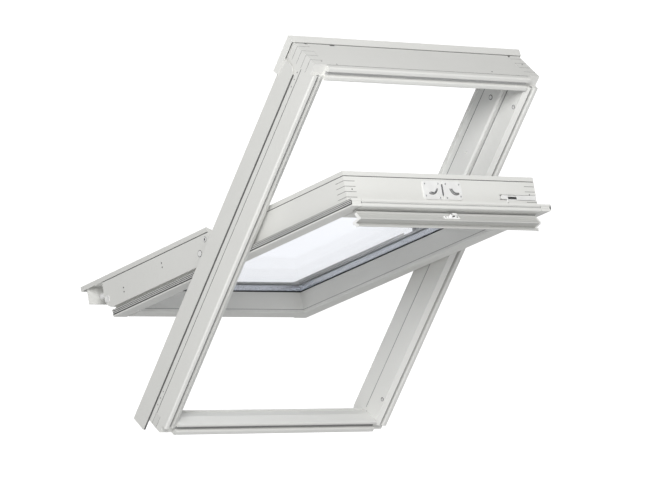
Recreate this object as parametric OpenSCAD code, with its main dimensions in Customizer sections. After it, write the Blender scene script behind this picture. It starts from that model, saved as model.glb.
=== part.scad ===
// Centre-pivot roof window in its own frame, shown with the sash swung open.
// The window is drawn upright: x to the right as seen from the room, y outward
// through the roof, z up the slope. It then leans back to the roof pitch.
// The sash is drawn closed and then swung about its pivot axis.

/* [Frame] */
// Outer width of the frame
frame_w = 780; // [660:1:1140]
// Outer height of the frame along the slope
frame_h = 1178; // [978:1:1600]
// Pitch of the roof that the window leans to, in degrees
roof_pitch = 55; // [30:1:75]
// Width of a frame member on the room side
member_w = 41; // [38:1:48]
// Depth of the frame timber
timber_d = 110; // [104:1:120]
// Height of the sill at its room side
sill_h = 36.5; // [34:0.5:42]
// Depth of the sill
sill_d = 63; // [58:1:70]
// Fall of the sill's drained outer edge
sill_fall = 12; // [6:0.5:16]
// Gap left in the painted comb joints of the timber corners
joint_gap = 1.2; // [0.2:0.1:1.4]

/* [Room-side mouldings] */
// Projection of the mouldings from the frame timber
lip_d = 15; // [11:0.5:18]
// Width of the outer moulding
outer_lip_w = 15; // [12:0.5:17]
// Width of the lining groove between the mouldings
groove_w = 11; // [8:0.5:13]
// Depth of the lining groove
groove_d = 11; // [6:0.5:11]
// Radius of the rounded moulding edges
lip_r = 4.5; // [2:0.5:5]
// Length of the bare corner block up the jamb
block_h = 29.5; // [22:0.5:36]

/* [Frame cladding] */
// Thickness of the folded aluminium
sheet = 2; // [1.5:0.1:2.5]
// Stand-off of the side cover from the jamb
cover_off = 4; // [3:0.5:6]
// Depth of the side cover measured from the outer face of the timber
cover_d = 51; // [44:1:56]
// Length of the side cover below the frame
cover_drop = 33; // [15:1:48]
// Distance of the side cover's upper end from the top of the frame
cover_top = 52; // [44:1:70]
// Length of the head cover's side legs
leg_len = 100; // [80:1:130]
// Overlap of the upper side covers across the sash
upper_lap = 10; // [8:1:32]

/* [Sash] */
// Angle of the sash from closed, in degrees
open_angle = 40.1; // [0:0.1:150]
// Height of the pivot axis above the outer face of the frame timber
pivot_out = 30; // [28:0.5:34]
// Gap between the sash and the head
head_gap = 41; // [39:0.5:50]
// Gap between the sash and the sill
sill_gap = 3.5; // [3:0.5:8]
// Gap between the sash lip and the jamb
jamb_gap = 4; // [3.5:0.5:6]
// Width of a sash member on the room side
stile_w = 52; // [46:1:60]
// Height of the top rail
top_rail_w = 75; // [66:1:90]
// Depth of the sash timber
sash_d = 92.5; // [90:0.5:95]
// Thickness of the lip that closes on the frame
sash_lip_t = 19.5; // [18:0.5:22]
// Reach of the top lip past the end of the sash, towards the head
lip_reach = 33; // [20:1:35]
// Thickness of the side strips on the lower half of the sash
strip_t = 15; // [13:0.5:17]
// Height of the side strips above the rest of the sash timber
strip_rise = 15; // [12:0.5:18]
// Depth of the sash cladding on the upper half
clad_d = 12; // [10:0.5:14]
// Depth of the sash cladding on the lower half
clad_low_d = 13; // [10:0.5:15]
// Overhang of the lower cladding past the side strips
clad_over = 1.5; // [0:0.5:2.5]
// Length of the lower cladding past the foot of the frame
foot_over = 87; // [60:1:100]
// Depth of the apron at the foot of the sash
apron_d = 56; // [46:1:60]

/* [Glazing] */
// Thickness of one pane
pane_t = 4; // [3:0.5:5]
// Width of the cavity between the panes
cavity = 16; // [12:0.5:17]
// Edge cover of the glass behind the sash timber
glass_bite = 15; // [12:0.5:17]
// Width of the spacer bar
spacer_w = 9; // [6:0.5:10]

/* [Pivot hinges] */
// Diameter of the pivot pin
pin_d = 10; // [8:0.5:12]
// Running clearance of a pin in its eye, on the radius
run_clear = 0.05; // [0.02:0.01:0.1]
// Half the length that the hinge takes of each side
hinge_zone = 70; // [64:1:90]
// Thickness of the hinge plates
hinge_t = 4; // [3:0.5:5]

/* [Control bar and lock] */
// Reach of the control bar into the room
bar_reach = 35; // [30:1:40]
// Distance of the bar's ends from the sides of the sash
bar_inset = 16; // [3:1:20]
// Width of the lock case
lock_w = 134; // [100:1:160]
// Depth of the lock case
lock_d = 52; // [44:1:56]
// Travel of the lock tongue
tongue_travel = 18; // [12:0.5:20]

/* [Barrel bolt] */
// Diameter of the bolt rod
bolt_d = 7; // [6:0.5:8]
// Length of the routed bolt slot
slot_len = 130; // [110:1:150]
// Travel of the bolt
bolt_travel = 28; // [20:1:32]
// Outer diameter of the bushes in the jamb
bush_d = 14; // [12:0.5:16]

/* [Hidden] */
$fn = 48;

// Colours
paint = [0.90, 0.90, 0.88];
clad = [0.85, 0.85, 0.83];
steel = [0.72, 0.73, 0.74];
rubber = [0.22, 0.22, 0.22];
nylon = [0.93, 0.93, 0.92];
glass = [0.80, 0.86, 0.95, 0.45];

// Frame, from the middle outwards
xo = frame_w / 2;
xi = xo - member_w;
zi = frame_h - member_w;
jamb_step = 2;
quirk = 2.6;
chamfer = 13;
xs = xi + jamb_step;
pivot_y = timber_d + pivot_out;
pivot_z = frame_h / 2;

// Sash in its closed place
sash_out = 13;
sash_y1 = timber_d + sash_out;
lip_y = sash_y1 - sash_d;
body_y = lip_y + sash_lip_t;
clad_y = sash_y1 + clad_d;
xl = xi - jamb_gap;
xu = xl - strip_t;
xg = xl - stile_w;
zb = sill_h + sill_gap;
zt = zi - head_gap;
zgb = zb + stile_w;
zgt = zt - top_rail_w;
tiny = 0.3;

// Stop beads and the covers over them
gasket_t = 2.5;
bead_x = xu + 4;
bead_y0 = body_y + tiny + gasket_t;
bead_y1 = clad_y + 1.5;
bead_z0 = pivot_z + hinge_zone;
screw_r = 2;
bead_screw_head = 4.2;
bead_screw_y = (bead_y0 + bead_y1) / 2 - 12;
bead_screw_z = [for (k = [0:2]) bead_z0 + 40 + k * (zi - 80 - 40 - bead_z0) / 2];

// Side covers and the head cover
xc = xo + cover_off + sheet;
cover_y1 = timber_d + sheet;
skirt_out = 10;
skirt_y = timber_d + 15;
head_cover_y = bead_y1 + 2 * sheet;
upper_wall_x = xi + 19;

// Glazing
unit_t = 2 * pane_t + cavity;
glass_y1 = sash_y1 - 4;
glass_y0 = glass_y1 - unit_t;
seat_t = 3;
pocket_gap = 3;
xp = xg + glass_bite;
seal_w = 12;

// Sash cladding
clad_in = 8;
xcl = xl + clad_over;
low_z1 = pivot_z - hinge_zone;
low_y0 = sash_y1 + strip_rise;
low_y1 = low_y0 + clad_low_d;
foot_z = -foot_over;
apron_back = 21;

// Hinges
pin_r = pin_d / 2;
eye_r = pin_r + 9;
arm_x1 = xu + hinge_t - 1;
post_x0 = xl - 1;
foot_len = 45;
arm_len = 60;

// Lock
lock_y0 = body_y + 14;
lock_plate_t = 2.5;
slit_w = 3;
keeper_gap = 15;
tongue_y0 = lock_y0 + 12;
tongue_y1 = lock_y0 + lock_d - 10;

// Barrel bolt
bolt_r = bolt_d / 2;
bolt_deep = 4.5;
bolt_y = body_y + 26.5;
bolt_z = zt - bolt_deep;
slot_w = 15;
slot_deep = 13;
// The bushes lie on the circle that the bolt runs on about the pivot
bush_y = 3;
bolt_rad = norm([bolt_z - pivot_z, bolt_y - pivot_y]);
bush_dz = sqrt(bolt_rad * bolt_rad - (bush_y - pivot_y) * (bush_y - pivot_y));

// Control bar
rod_r = 2.5;
hinge_y = lip_y - 8.5;
hinge_z = zt + 3;
bar_x = xu - bar_inset;
cap_t = 3;
bar_lift = 22;
bar_drop = 8;
bar_play = 30;

// Places of a profile in the window
module along_z(z0, z1) {
  translate([0, 0, z0]) linear_extrude(z1 - z0) children();
}
module along_x(x0, x1) {
  translate([x0, 0, 0]) rotate([90, 0, 90]) linear_extrude(x1 - x0) children();
}
module box(a, b) {
  translate(a) cube(b - a);
}
module rod_x(x0, x1, y, z, r) {
  translate([x0, y, z]) rotate([0, 90, 0]) cylinder(h = x1 - x0, r = r);
}
module installed() {
  rotate([90 - roof_pitch, 0, 0]) children();
}
module swung() {
  installed()
    translate([0, pivot_y, pivot_z]) rotate([open_angle, 0, 0])
      translate([0, -pivot_y, -pivot_z]) children();
}
module side(s) {
  if (s > 0) children();
  else mirror([1, 0, 0]) children();
}
module both_sides() {
  children();
  mirror([1, 0, 0]) children();
}

// A bar of section w by h whose two outer edges are rounded
module rounded_lip(w, h, r) {
  square([w, h - r]);
  translate([r, 0]) square([w - 2 * r, h]);
  translate([r, h - r]) circle(r);
  translate([w - r, h - r]) circle(r);
}

// Section of the mouldings, from the outer edge of a member inwards
module moulding_section(w) {
  rounded_lip(outer_lip_w, lip_d, lip_r);
  square([w, lip_d - groove_d]);
  translate([outer_lip_w + groove_w, 0])
    rounded_lip(w - outer_lip_w - groove_w, lip_d, lip_r);
}

// Layers of a comb joint: every second one, from the given first layer
module comb_layers(y0, y1, n, first, gap) {
  step = (y1 - y0) / n;
  for (k = [first:2:n - 1])
    translate([0, y0 + k * step + gap / 2, 0]) children();
}
function layer_t(y0, y1, n, gap) = (y1 - y0) / n - gap;
splay = 0.5;
frame_layers = 5;
sill_layers = 3;
sash_layers = 5;
finger_l = top_rail_w * 0.48;

// Frame timber
module jamb_section() {
  g = timber_d - cover_d - 20;
  polygon([[xi, 0], [xo, 0], [xo, g], [xo - 2.5, g], [xo - 2.5, g + 2.5], [xo, g + 2.5],
    [xo, timber_d], [xs + chamfer, timber_d], [xs, timber_d - chamfer],
    [xs, body_y], [xi, body_y - jamb_step]]);
}
// On the jambs the inner part slopes away to the opening
module jamb_moulding() {
  in_w = outer_lip_w + groove_w;
  top = lip_d - 1;
  low = max(top - (member_w - in_w) * splay, lip_d - groove_d);
  translate([xo, 0]) mirror([1, 0]) mirror([0, 1]) {
    rounded_lip(outer_lip_w, lip_d, lip_r);
    square([member_w, lip_d - groove_d]);
    polygon([[in_w, 0], [in_w, top], [member_w, low], [member_w, 0]]);
  }
}
module jamb_slots() {
  t = layer_t(0, timber_d, frame_layers, -joint_gap);
  comb_layers(0, timber_d, frame_layers, 1, -joint_gap)
    translate([xi - 1, 0, zi]) cube([member_w + 2, t, member_w + 1]);
  ts = layer_t(0, sill_d, sill_layers, -joint_gap);
  comb_layers(0, sill_d, sill_layers, 1, -joint_gap)
    translate([xi - 1, 0, -1]) cube([member_w + 2, ts, sill_h + 1]);
}
fix_y = timber_d - cover_d - 9;
fix_end = 57;
fix_pitch = 22;
fix_r = 2.25;
fix_deep = 25;
module fixing_holes() {
  for (k = [0:2], end = [0, 1]) {
    z = fix_end + k * fix_pitch;
    rod_x(xo - fix_deep, xo + 1, fix_y, end == 0 ? z : frame_h - z, fix_r);
  }
}
module jamb_bolt_holes() {
  for (e = [-1, 1])
    rod_x(xi - 1, xi + 22, bush_y, pivot_z + e * bush_dz, bush_d / 2);
  rod_x(bead_x - 1, xi + 20, bolt_y, bolt_z, bush_d / 2);
}
module jamb_plain() {
  difference() {
    union() {
      along_z(0, frame_h) jamb_section();
      along_z(block_h - 8, frame_h - block_h) jamb_moulding();
    }
    jamb_slots();
    fixing_holes();
  }
}
module jamb_left() {
  color(paint) installed() side(-1) jamb_plain();
}
module jamb_right() {
  color(paint) installed() difference() {
    jamb_plain();
    jamb_bolt_holes();
  }
}

// The head is stepped: its inner part carries the head cover
head_step_w = 22;
module head_section() {
  translate([0, zi]) square([timber_d, member_w]);
  translate([timber_d, zi]) square([bead_y1 + sheet - timber_d, head_step_w]);
}
module head() {
  t = layer_t(0, timber_d, frame_layers, joint_gap);
  color(paint) installed() {
    along_x(-xi, xi) difference() {
      union() {
        head_section();
        translate([0, frame_h]) rotate(-90) mirror([0, 1]) moulding_section(member_w);
      }
      translate([-quirk / 2, frame_h - quirk]) square([quirk, quirk + 1]);
    }
    both_sides() comb_layers(0, timber_d, frame_layers, 1, joint_gap)
      translate([xi, 0, zi]) cube([member_w, t, member_w]);
  }
}
module sill() {
  t = layer_t(0, sill_d, sill_layers, joint_gap);
  flat_d = sill_d - 40;
  color(paint) installed() {
    along_x(-xi, xi) {
      polygon([[0, 0], [sill_d, 0], [sill_d, sill_h - sill_fall], [flat_d, sill_h],
        [0, sill_h]]);
      rotate(90) moulding_section(sill_h);
    }
    both_sides() comb_layers(0, sill_d, sill_layers, 1, joint_gap)
      translate([xi, 0, 0]) cube([member_w, t, sill_h]);
  }
}

// Stop beads on the upper half of the jambs
bead_line = 18;
module stop_bead_plain() {
  w = xs - bead_x;
  difference() {
    along_z(bead_z0, zi)
      translate([bead_x, bead_y1]) mirror([0, 1]) {
        square([w, bead_y1 - bead_y0 - 6]);
        translate([6, 0]) square([w - 6, bead_y1 - bead_y0]);
        translate([6, bead_y1 - bead_y0 - 6]) circle(6);
      }
    box([bead_x - 1, bead_y1 - bead_line - quirk, bead_z0 - 1],
      [bead_x + quirk, bead_y1 - bead_line, zi + 1]);
    for (z = bead_screw_z) {
      rod_x(bead_x - 1, xs + 1, bead_screw_y, z, screw_r + run_clear);
      rod_x(bead_x - 1, bead_x + 3, bead_screw_y, z, bead_screw_head + run_clear);
    }
  }
}
module stop_bead_left() {
  color(paint) installed() side(-1) stop_bead_plain();
}
module stop_bead_right() {
  color(paint) installed() difference() {
    stop_bead_plain();
    jamb_bolt_holes();
  }
}
module bead_gasket_plain() {
  box([bead_x + 6, bead_y0 - gasket_t, bead_z0], [xs - 3, bead_y0, zi]);
}
module bead_gasket_left() {
  color(rubber) installed() side(-1) bead_gasket_plain();
}
module bead_gasket_right() {
  color(rubber) installed() bead_gasket_plain();
}
module bead_screws() {
  color(steel) installed() both_sides() for (z = bead_screw_z) {
    rod_x(bead_x + 1, bead_x + 3, bead_screw_y, z, bead_screw_head);
    rod_x(bead_x + 3, xs, bead_screw_y, z, screw_r);
  }
}

// Side covers: a wall beside the jamb and a flange on its outer face
module side_cover_plain() {
  r = 16;
  y0 = timber_d - cover_d;
  z1 = frame_h - cover_top;
  wall_x = xc - sheet;
  along_x(wall_x, xc) {
    translate([y0, -cover_drop]) square([cover_y1 - y0, z1 - r + cover_drop]);
    translate([y0 + r, -cover_drop]) square([cover_y1 - y0 - r, z1 + cover_drop]);
    translate([y0 + r, z1 - r]) circle(r);
  }
  box([wall_x - 3, y0, -cover_drop], [wall_x, y0 + sheet, z1 - r]);
  box([xs + chamfer, timber_d, 0], [wall_x, cover_y1, z1]);
}
module side_cover_left() {
  color(clad) installed() side(-1) side_cover_plain();
}
module side_cover_right() {
  color(clad) installed() side_cover_plain();
}

// Upper side covers: they lap over the sash from the stop beads
module upper_cover_plain() {
  x0 = bead_x - upper_lap;
  box([x0, bead_y1, bead_z0], [upper_wall_x, bead_y1 + sheet, zi]);
  box([upper_wall_x - sheet, cover_y1, bead_z0], [upper_wall_x, bead_y1, zi - 12]);
}
module upper_cover_left() {
  color(clad) installed() side(-1) upper_cover_plain();
}
module upper_cover_right() {
  color(clad) installed() upper_cover_plain();
}

// The head cover: a hood with flared sides, a sloped shoulder and a flat top.
// It is the crossing of its two sections, so that its corners are mitred.
skirt_y0 = timber_d - 4;
shoulder = 16;
module hood(t, z0) {
  x0 = xc + 2.5 - t;
  x1 = xo + skirt_out + 1.5 - t;
  z1 = frame_h + 2.6 - t;
  z2 = frame_h + skirt_out - t;
  y2 = head_cover_y - t;
  s = shoulder - t / 2;
  y0 = t > 0 ? skirt_y0 - 1 : skirt_y0;
  intersection() {
    along_x(-x1, x1)
      polygon([[y0, z0], [y2, z0], [y2, z2 - s], [skirt_y, z2], [skirt_y0, z1], [y0, z1]]);
    along_z(z0, z2)
      polygon([[-x0, y0], [x0, y0], [x0, skirt_y0], [x1, skirt_y], [x1 - s, y2], [s - x1, y2],
        [-x1, skirt_y], [-x0, skirt_y0]]);
  }
}
module head_cover() {
  z0 = frame_h - leg_len;
  color(clad) installed() difference() {
    hood(0, z0);
    hood(sheet, z0 - 1);
  }
}

// Cover of the sill's outer face
module sill_cover() {
  z1 = sill_h - sill_fall;
  color(clad) installed()
    along_x(-xi, xi)
      polygon([[sill_d, 0], [sill_d + sheet, 0], [sill_d + sheet, z1 + sheet],
        [sill_d - 6, z1 + sheet + 6 * sill_fall / 40], [sill_d - 6, z1 + 6 * sill_fall / 40],
        [sill_d, z1]]);
}

// Pivot hinges
bracket_z = [-foot_len + 12, foot_len - 12];
bracket_screw_x = xo - 14;
module hinge_bracket_plain() {
  difference() {
    union() {
      box([post_x0, cover_y1, pivot_z - foot_len],
        [xo + 2, cover_y1 + hinge_t, pivot_z + foot_len]);
      along_x(post_x0, post_x0 + hinge_t) {
        polygon([[cover_y1 + hinge_t, pivot_z - foot_len + 8],
          [pivot_y, pivot_z - eye_r], [pivot_y, pivot_z + eye_r],
          [cover_y1 + hinge_t, pivot_z + foot_len - 8]]);
        translate([pivot_y, pivot_z]) circle(eye_r);
      }
    }
    rod_x(post_x0 - 1, post_x0 + hinge_t + 1, pivot_y, pivot_z, pin_r + 0.02);
    for (z = bracket_z)
      translate([bracket_screw_x, cover_y1 - 1, pivot_z + z]) rotate([-90, 0, 0])
        cylinder(h = hinge_t + 2, r = screw_r + run_clear);
  }
}
module hinge_bracket_left() {
  color(steel) installed() side(-1) hinge_bracket_plain();
}
module hinge_bracket_right() {
  color(steel) installed() hinge_bracket_plain();
}
module pivot_pins() {
  color(steel) installed() both_sides() {
    rod_x(xu + 0.3, post_x0 + hinge_t, pivot_y, pivot_z, pin_r);
    rod_x(post_x0 + hinge_t, post_x0 + hinge_t + 3, pivot_y, pivot_z, pin_r + 3);
  }
}
module friction_bushes() {
  color(nylon) installed() both_sides() difference() {
    rod_x(arm_x1 + 0.3, post_x0, pivot_y, pivot_z, eye_r - 2);
    rod_x(arm_x1, post_x0 + 1, pivot_y, pivot_z, pin_r + 0.02);
  }
}
module bracket_screws() {
  color(steel) installed() both_sides() for (z = bracket_z)
    translate([bracket_screw_x, cover_y1, pivot_z + z]) rotate([-90, 0, 0]) {
      cylinder(h = hinge_t, r = screw_r);
      translate([0, 0, hinge_t]) cylinder(h = 2, r = 4.2);
    }
}
arm_screw_y = sash_y1 - 20;
arm_screw_z = [-arm_len + 12, -26, 26, arm_len - 12];
module hinge_arm_plain() {
  difference() {
    along_x(xu, arm_x1) {
      translate([sash_y1 - 38, pivot_z - arm_len]) square([36, 2 * arm_len]);
      polygon([[sash_y1 - 2, pivot_z - 30], [pivot_y, pivot_z - eye_r],
        [pivot_y, pivot_z + eye_r], [sash_y1 - 2, pivot_z + 30]]);
      translate([pivot_y, pivot_z]) circle(eye_r);
    }
    rod_x(xu - 1, arm_x1 + 1, pivot_y, pivot_z, pin_r + run_clear);
    for (z = arm_screw_z)
      rod_x(xu - 1, arm_x1 + 1, arm_screw_y, pivot_z + z, screw_r + run_clear);
  }
}
module hinge_arm_left() {
  color(steel) swung() side(-1) hinge_arm_plain();
}
module hinge_arm_right() {
  color(steel) swung() hinge_arm_plain();
}
module arm_screws() {
  color(steel) swung() both_sides() for (z = arm_screw_z) {
    rod_x(xu, arm_x1, arm_screw_y, pivot_z + z, screw_r);
    rod_x(arm_x1, arm_x1 + 0.8, arm_screw_y, pivot_z + z, 3.6);
  }
}

// Bushes that the barrel bolt shoots into
module bolt_bushes() {
  color(nylon) installed() for (e = [-1, 1]) difference() {
    z = pivot_z + e * bush_dz;
    rod_x(xi, xi + 20, bush_y, z, bush_d / 2 - 0.02);
    rod_x(xi - 1, xi + 16, bush_y, z, bolt_r + 1);
  }
}

// Keeper of the lock, on the inner face of the head
keeper_w = 60;
keeper_y0 = tongue_y0 - 6;
keeper_y1 = tongue_y1 + 6;
module lock_keeper() {
  z0 = zt + keeper_gap;
  color(steel) installed() difference() {
    union() {
      box([-keeper_w / 2, keeper_y0, zi - 3], [keeper_w / 2, keeper_y1, zi]);
      box([-12, keeper_y0, z0], [12, keeper_y1, zi - 3]);
    }
    box([-slit_w, tongue_y0 - 2, z0 - 1], [slit_w, tongue_y1 + 2, zi - 3]);
    for (x = [-22, 22])
      translate([x, (keeper_y0 + keeper_y1) / 2, zi - 4])
        cylinder(h = 5, r = screw_r + run_clear);
  }
}
module keeper_screws() {
  color(steel) installed() for (x = [-22, 22])
    translate([x, (keeper_y0 + keeper_y1) / 2, zi - 5]) {
      cylinder(h = 2, r = 4.2);
      cylinder(h = 5, r = screw_r);
    }
}

// Sash timber
module glass_pocket() {
  box([-xp - pocket_gap, glass_y0 - seat_t, zgb - glass_bite - pocket_gap],
    [xp + pocket_gap, clad_y + 1, zgt + glass_bite + pocket_gap]);
}
module stile_section() {
  lip_rr = 6;
  translate([xg, body_y]) mirror([0, 1]) rounded_lip(stile_w, sash_lip_t, lip_rr);
  translate([xg, body_y]) square([xu - xg, sash_y1 - body_y]);
}
module stile_slots() {
  t = layer_t(body_y, sash_y1, sash_layers, -joint_gap);
  comb_layers(body_y, sash_y1, sash_layers, 1, -joint_gap) {
    translate([xg - 1, 0, zt - finger_l]) cube([xu - xg + 2, t, finger_l + 1]);
    translate([xg - 1, 0, zb - 1]) cube([xu - xg + 2, t, stile_w + 1]);
  }
}
module seal_groove() {
  yc = lip_y + sash_lip_t / 2;
  box([xl - 2, yc - seal_w / 2, zb - 1], [xl + 1, yc + seal_w / 2, zt + lip_reach + 1]);
}
module bolt_slot() {
  box([xu - slot_len, bolt_y - slot_w / 2, zt - slot_deep], [xu + 1, bolt_y + slot_w / 2, zt + 1]);
}
// End of the lip past the top of the sash, let into the body by a small depth
lip_end_w = 35;
lip_end_r = 6;
cove_r = 3.6;
weld = 1;
// Small rebate in the timber that leaves a shadow line under the cladding
rebate = 2.2;
module cover_rebate() {
  box([-xu - 1, sash_y1 - rebate, zt - rebate], [xu + 1, sash_y1 + 1, zt + 1]);
  both_sides() box([xu - rebate, sash_y1 - rebate, low_z1], [xu + 1, sash_y1 + 1, zt + 1]);
}
module stile_plain() {
  difference() {
    union() {
      along_z(zb, zt) stile_section();
      along_z(zt - weld, zt + lip_reach) translate([xl - lip_end_w, body_y]) mirror([0, 1])
        rounded_lip(lip_end_w, sash_lip_t, lip_end_r);
    }
    stile_slots();
    glass_pocket();
    seal_groove();
    cover_rebate();
    rod_x(xl - lip_end_w - 1, xl + 1, lip_y + sash_lip_t / 2 + 1, zt + lip_reach + cove_r / 4, cove_r);
  }
}
module sash_stile_left() {
  color(paint) swung() side(-1) stile_plain();
}
module sash_stile_right() {
  color(paint) swung() difference() {
    stile_plain();
    bolt_slot();
  }
}
module rail_fingers(z0, z1) {
  t = layer_t(body_y, sash_y1, sash_layers, joint_gap);
  both_sides() comb_layers(body_y, sash_y1, sash_layers, 1, joint_gap)
    translate([xg, 0, z0]) cube([xu - xg, t, z1 - z0]);
}
module rail_section(z0, z1) {
  translate([body_y, z0]) square([sash_y1 - body_y, z1 - z0]);
  translate([body_y, z0]) rotate(90) rounded_lip(z1 - z0, sash_lip_t, 6);
}
module lip_end_section(d) {
  translate([body_y, zt]) rotate(90) difference() {
    translate([-lip_reach, 0]) rounded_lip(2 * lip_reach, sash_lip_t, lip_end_r);
    translate([-lip_reach - 1, -1]) square([lip_reach + 1 - d, sash_lip_t + 2]);
  }
}
module sash_top_rail() {
  groove_y = lip_y + sash_lip_t / 2 + 1;
  end_x = xl - lip_end_w - joint_gap;
  end_z = zt + lip_reach;
  color(paint) swung() difference() {
    union() {
      along_x(-xg, xg) rail_section(zgt, zt);
      along_x(-end_x, end_x) lip_end_section(0);
      along_x(-xg, xg) lip_end_section(weld);
      rail_fingers(zt - finger_l, zt);
    }
    glass_pocket();
    bolt_slot();
    cover_rebate();
    rod_x(-end_x - 1, end_x + 1, groove_y, end_z + cove_r / 4, cove_r);
    box([-slit_w, tongue_y0 - 1, zt - 50], [slit_w, tongue_y1 + 1, zt + 1]);
  }
}
module sash_bottom_rail() {
  color(paint) swung() difference() {
    union() {
      along_x(-xg, xg) rail_section(zb, zgb);
      rail_fingers(zb, zgb);
    }
    glass_pocket();
  }
}

// Side strips that widen the lower half of the sash
strip_y0 = body_y + 8;
strip_z0 = zb - 26;
strip_round = 36;
// Paired screws: place up the strip, and place of the pair across it
strip_pairs = [[zb + 69, strip_y0 + 32], [zb + 257, strip_y0 + 49]];
module side_strip_plain() {
  difference() {
    along_x(xu, xl) {
      translate([strip_y0, strip_z0 + strip_round])
        square([low_y0 - strip_y0, low_z1 - strip_z0 - strip_round]);
      translate([strip_y0 + strip_round, strip_z0])
        square([low_y0 - strip_y0 - strip_round, strip_round]);
      translate([strip_y0 + strip_round, strip_z0 + strip_round]) circle(strip_round);
    }
    for (p = strip_pairs, d = [-6, 6])
      rod_x(xu - 1, xl + 1, p[1] + d, p[0], screw_r + run_clear);
    box([xl - rebate, low_y0 - rebate, strip_z0 - 1], [xl + 1, low_y0 + 1, low_z1 + 1]);
  }
}
module side_strip_left() {
  color(paint) swung() side(-1) side_strip_plain();
}
module side_strip_right() {
  color(paint) swung() side_strip_plain();
}
module strip_screws() {
  color(steel) swung() both_sides() for (p = strip_pairs, d = [-6, 6])
    rod_x(xu, xl - 1, p[1] + d, p[0], screw_r);
}
strip_bush_r = 10;
module strip_bushes() {
  y = strip_y0 + strip_round - 8;
  z = strip_z0 + 14;
  color(nylon) swung() both_sides() difference() {
    rod_x(xl, xl + 1.5, y, z, strip_bush_r);
    rod_x(xl - 1, xl + 2, y, z, strip_bush_r - 3.5);
  }
}
buffer_r = 8;
buffer_len = 18;
module foot_buffers() {
  color(nylon) swung() both_sides()
    translate([(xu + xl) / 2, strip_y0 + strip_round + buffer_r, strip_z0 - buffer_len]) {
      cylinder(h = buffer_len, r = buffer_r);
      sphere(buffer_r);
    }
}

// Ribbed seals in the sides of the sash lip
module sash_seal_plain() {
  yc = lip_y + sash_lip_t / 2;
  box([xl - 2, yc - seal_w / 2, zb + 4], [xl + 1.5, yc + seal_w / 2, zt + lip_reach]);
}
module sash_seal_left() {
  color(rubber) swung() side(-1) sash_seal_plain();
}
module sash_seal_right() {
  color(rubber) swung() sash_seal_plain();
}

// Glazing
module pane(y0, y1) {
  box([-xp, y0, zgb - glass_bite], [xp, y1, zgt + glass_bite]);
}
module glass_inner() {
  color(glass) swung() pane(glass_y0, glass_y0 + pane_t);
}
module glass_outer() {
  color(glass) swung() pane(glass_y1 - pane_t, glass_y1);
}
// A flat ring around the glass, w wide, whose inner edge lies e outside the clear opening
module ring(y0, y1, e, w) {
  difference() {
    box([-xg - e - w, y0, zgb - e - w], [xg + e + w, y1, zgt + e + w]);
    box([-xg - e, y0 - 1, zgb - e], [xg + e, y1 + 1, zgt + e]);
  }
}
module spacer() {
  color([0.62, 0.66, 0.72]) swung()
    ring(glass_y0 + pane_t, glass_y1 - pane_t, 2, spacer_w);
}
module glazing_gasket_inner() {
  color(rubber) swung() ring(glass_y0 - seat_t, glass_y0, 1, glass_bite - 2);
}
module glazing_gasket_outer() {
  color(rubber) swung() ring(glass_y1, glass_y1 + 1.5, -clad_in + 0.5, 6);
}

// Sash cladding
glass_gap = 1.5;
clip_in = 14;
module clad_upper_plain() {
  x0 = xg - clad_in;
  along_z(low_z1, zt) {
    translate([x0, clad_y - sheet]) square([xu - x0, sheet]);
    translate([xu - sheet, sash_y1]) square([sheet, clad_d]);
    translate([xu - clip_in, sash_y1]) square([sheet, clad_d]);
  }
  along_z(low_z1, zgt - clad_in)
    translate([x0, glass_y1 + glass_gap]) square([sheet, clad_y - glass_y1 - glass_gap]);
  box([x0, sash_y1, zt - sheet], [xu, clad_y, zt]);
}
module clad_lower_plain() {
  x0 = xg - clad_in;
  z0 = zgb + clad_in;
  along_z(z0, low_z1) {
    translate([x0, glass_y1 + glass_gap]) square([sheet, low_y1 - glass_y1 - glass_gap]);
    translate([x0, low_y1 - sheet]) square([xcl - x0, sheet]);
    translate([xcl - sheet, low_y0]) square([sheet, clad_low_d]);
    translate([xu + sheet, low_y0]) square([sheet, clad_low_d]);
  }
  box([x0, clad_y, low_z1 - sheet], [xu, low_y1, low_z1]);
  box([xu - sheet, low_y0, low_z1 - sheet], [xcl, low_y1, low_z1]);
}
module clad_upper_left() {
  color(clad) swung() side(-1) clad_upper_plain();
}
module clad_upper_right() {
  color(clad) swung() clad_upper_plain();
}
module clad_lower_left() {
  color(clad) swung() side(-1) clad_lower_plain();
}
module clad_lower_right() {
  color(clad) swung() clad_lower_plain();
}
module clad_top() {
  x1 = xg - clad_in;
  y0 = glass_y1 + glass_gap;
  color(clad) swung() along_x(-x1, x1) {
    translate([y0, zgt - clad_in]) square([clad_y - y0, sheet]);
    translate([clad_y - sheet, zgt - clad_in]) square([sheet, zt - zgt + clad_in]);
    translate([sash_y1, zt - sheet]) square([clad_d, sheet]);
    translate([sash_y1, zt - clip_in]) square([clad_d, sheet]);
  }
}
module clad_bottom() {
  x1 = xg - clad_in;
  y0 = glass_y1 + glass_gap;
  z1 = zgb + clad_in;
  color(clad) swung() {
    along_x(-xcl, xcl) {
      translate([low_y1 - sheet, foot_z]) square([sheet, z1 - foot_z]);
      translate([low_y0, foot_z]) square([clad_low_d, sheet]);
    }
    both_sides() {
      box([xcl - sheet, low_y0, foot_z], [xcl, low_y1, z1]);
      box([xu + sheet, low_y0, strip_z0], [xu + 2 * sheet, low_y1, z1]);
    }
    along_x(-xl + 4, xl - 4)
      translate([low_y1 - apron_d, foot_z + apron_back]) square([apron_d, sheet]);
    along_x(-x1, x1) {
      translate([y0, z1 - sheet]) square([low_y1 - y0, sheet]);
      translate([sash_y1, zb]) square([low_y1 - sash_y1, sheet]);
    }
  }
}

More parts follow.
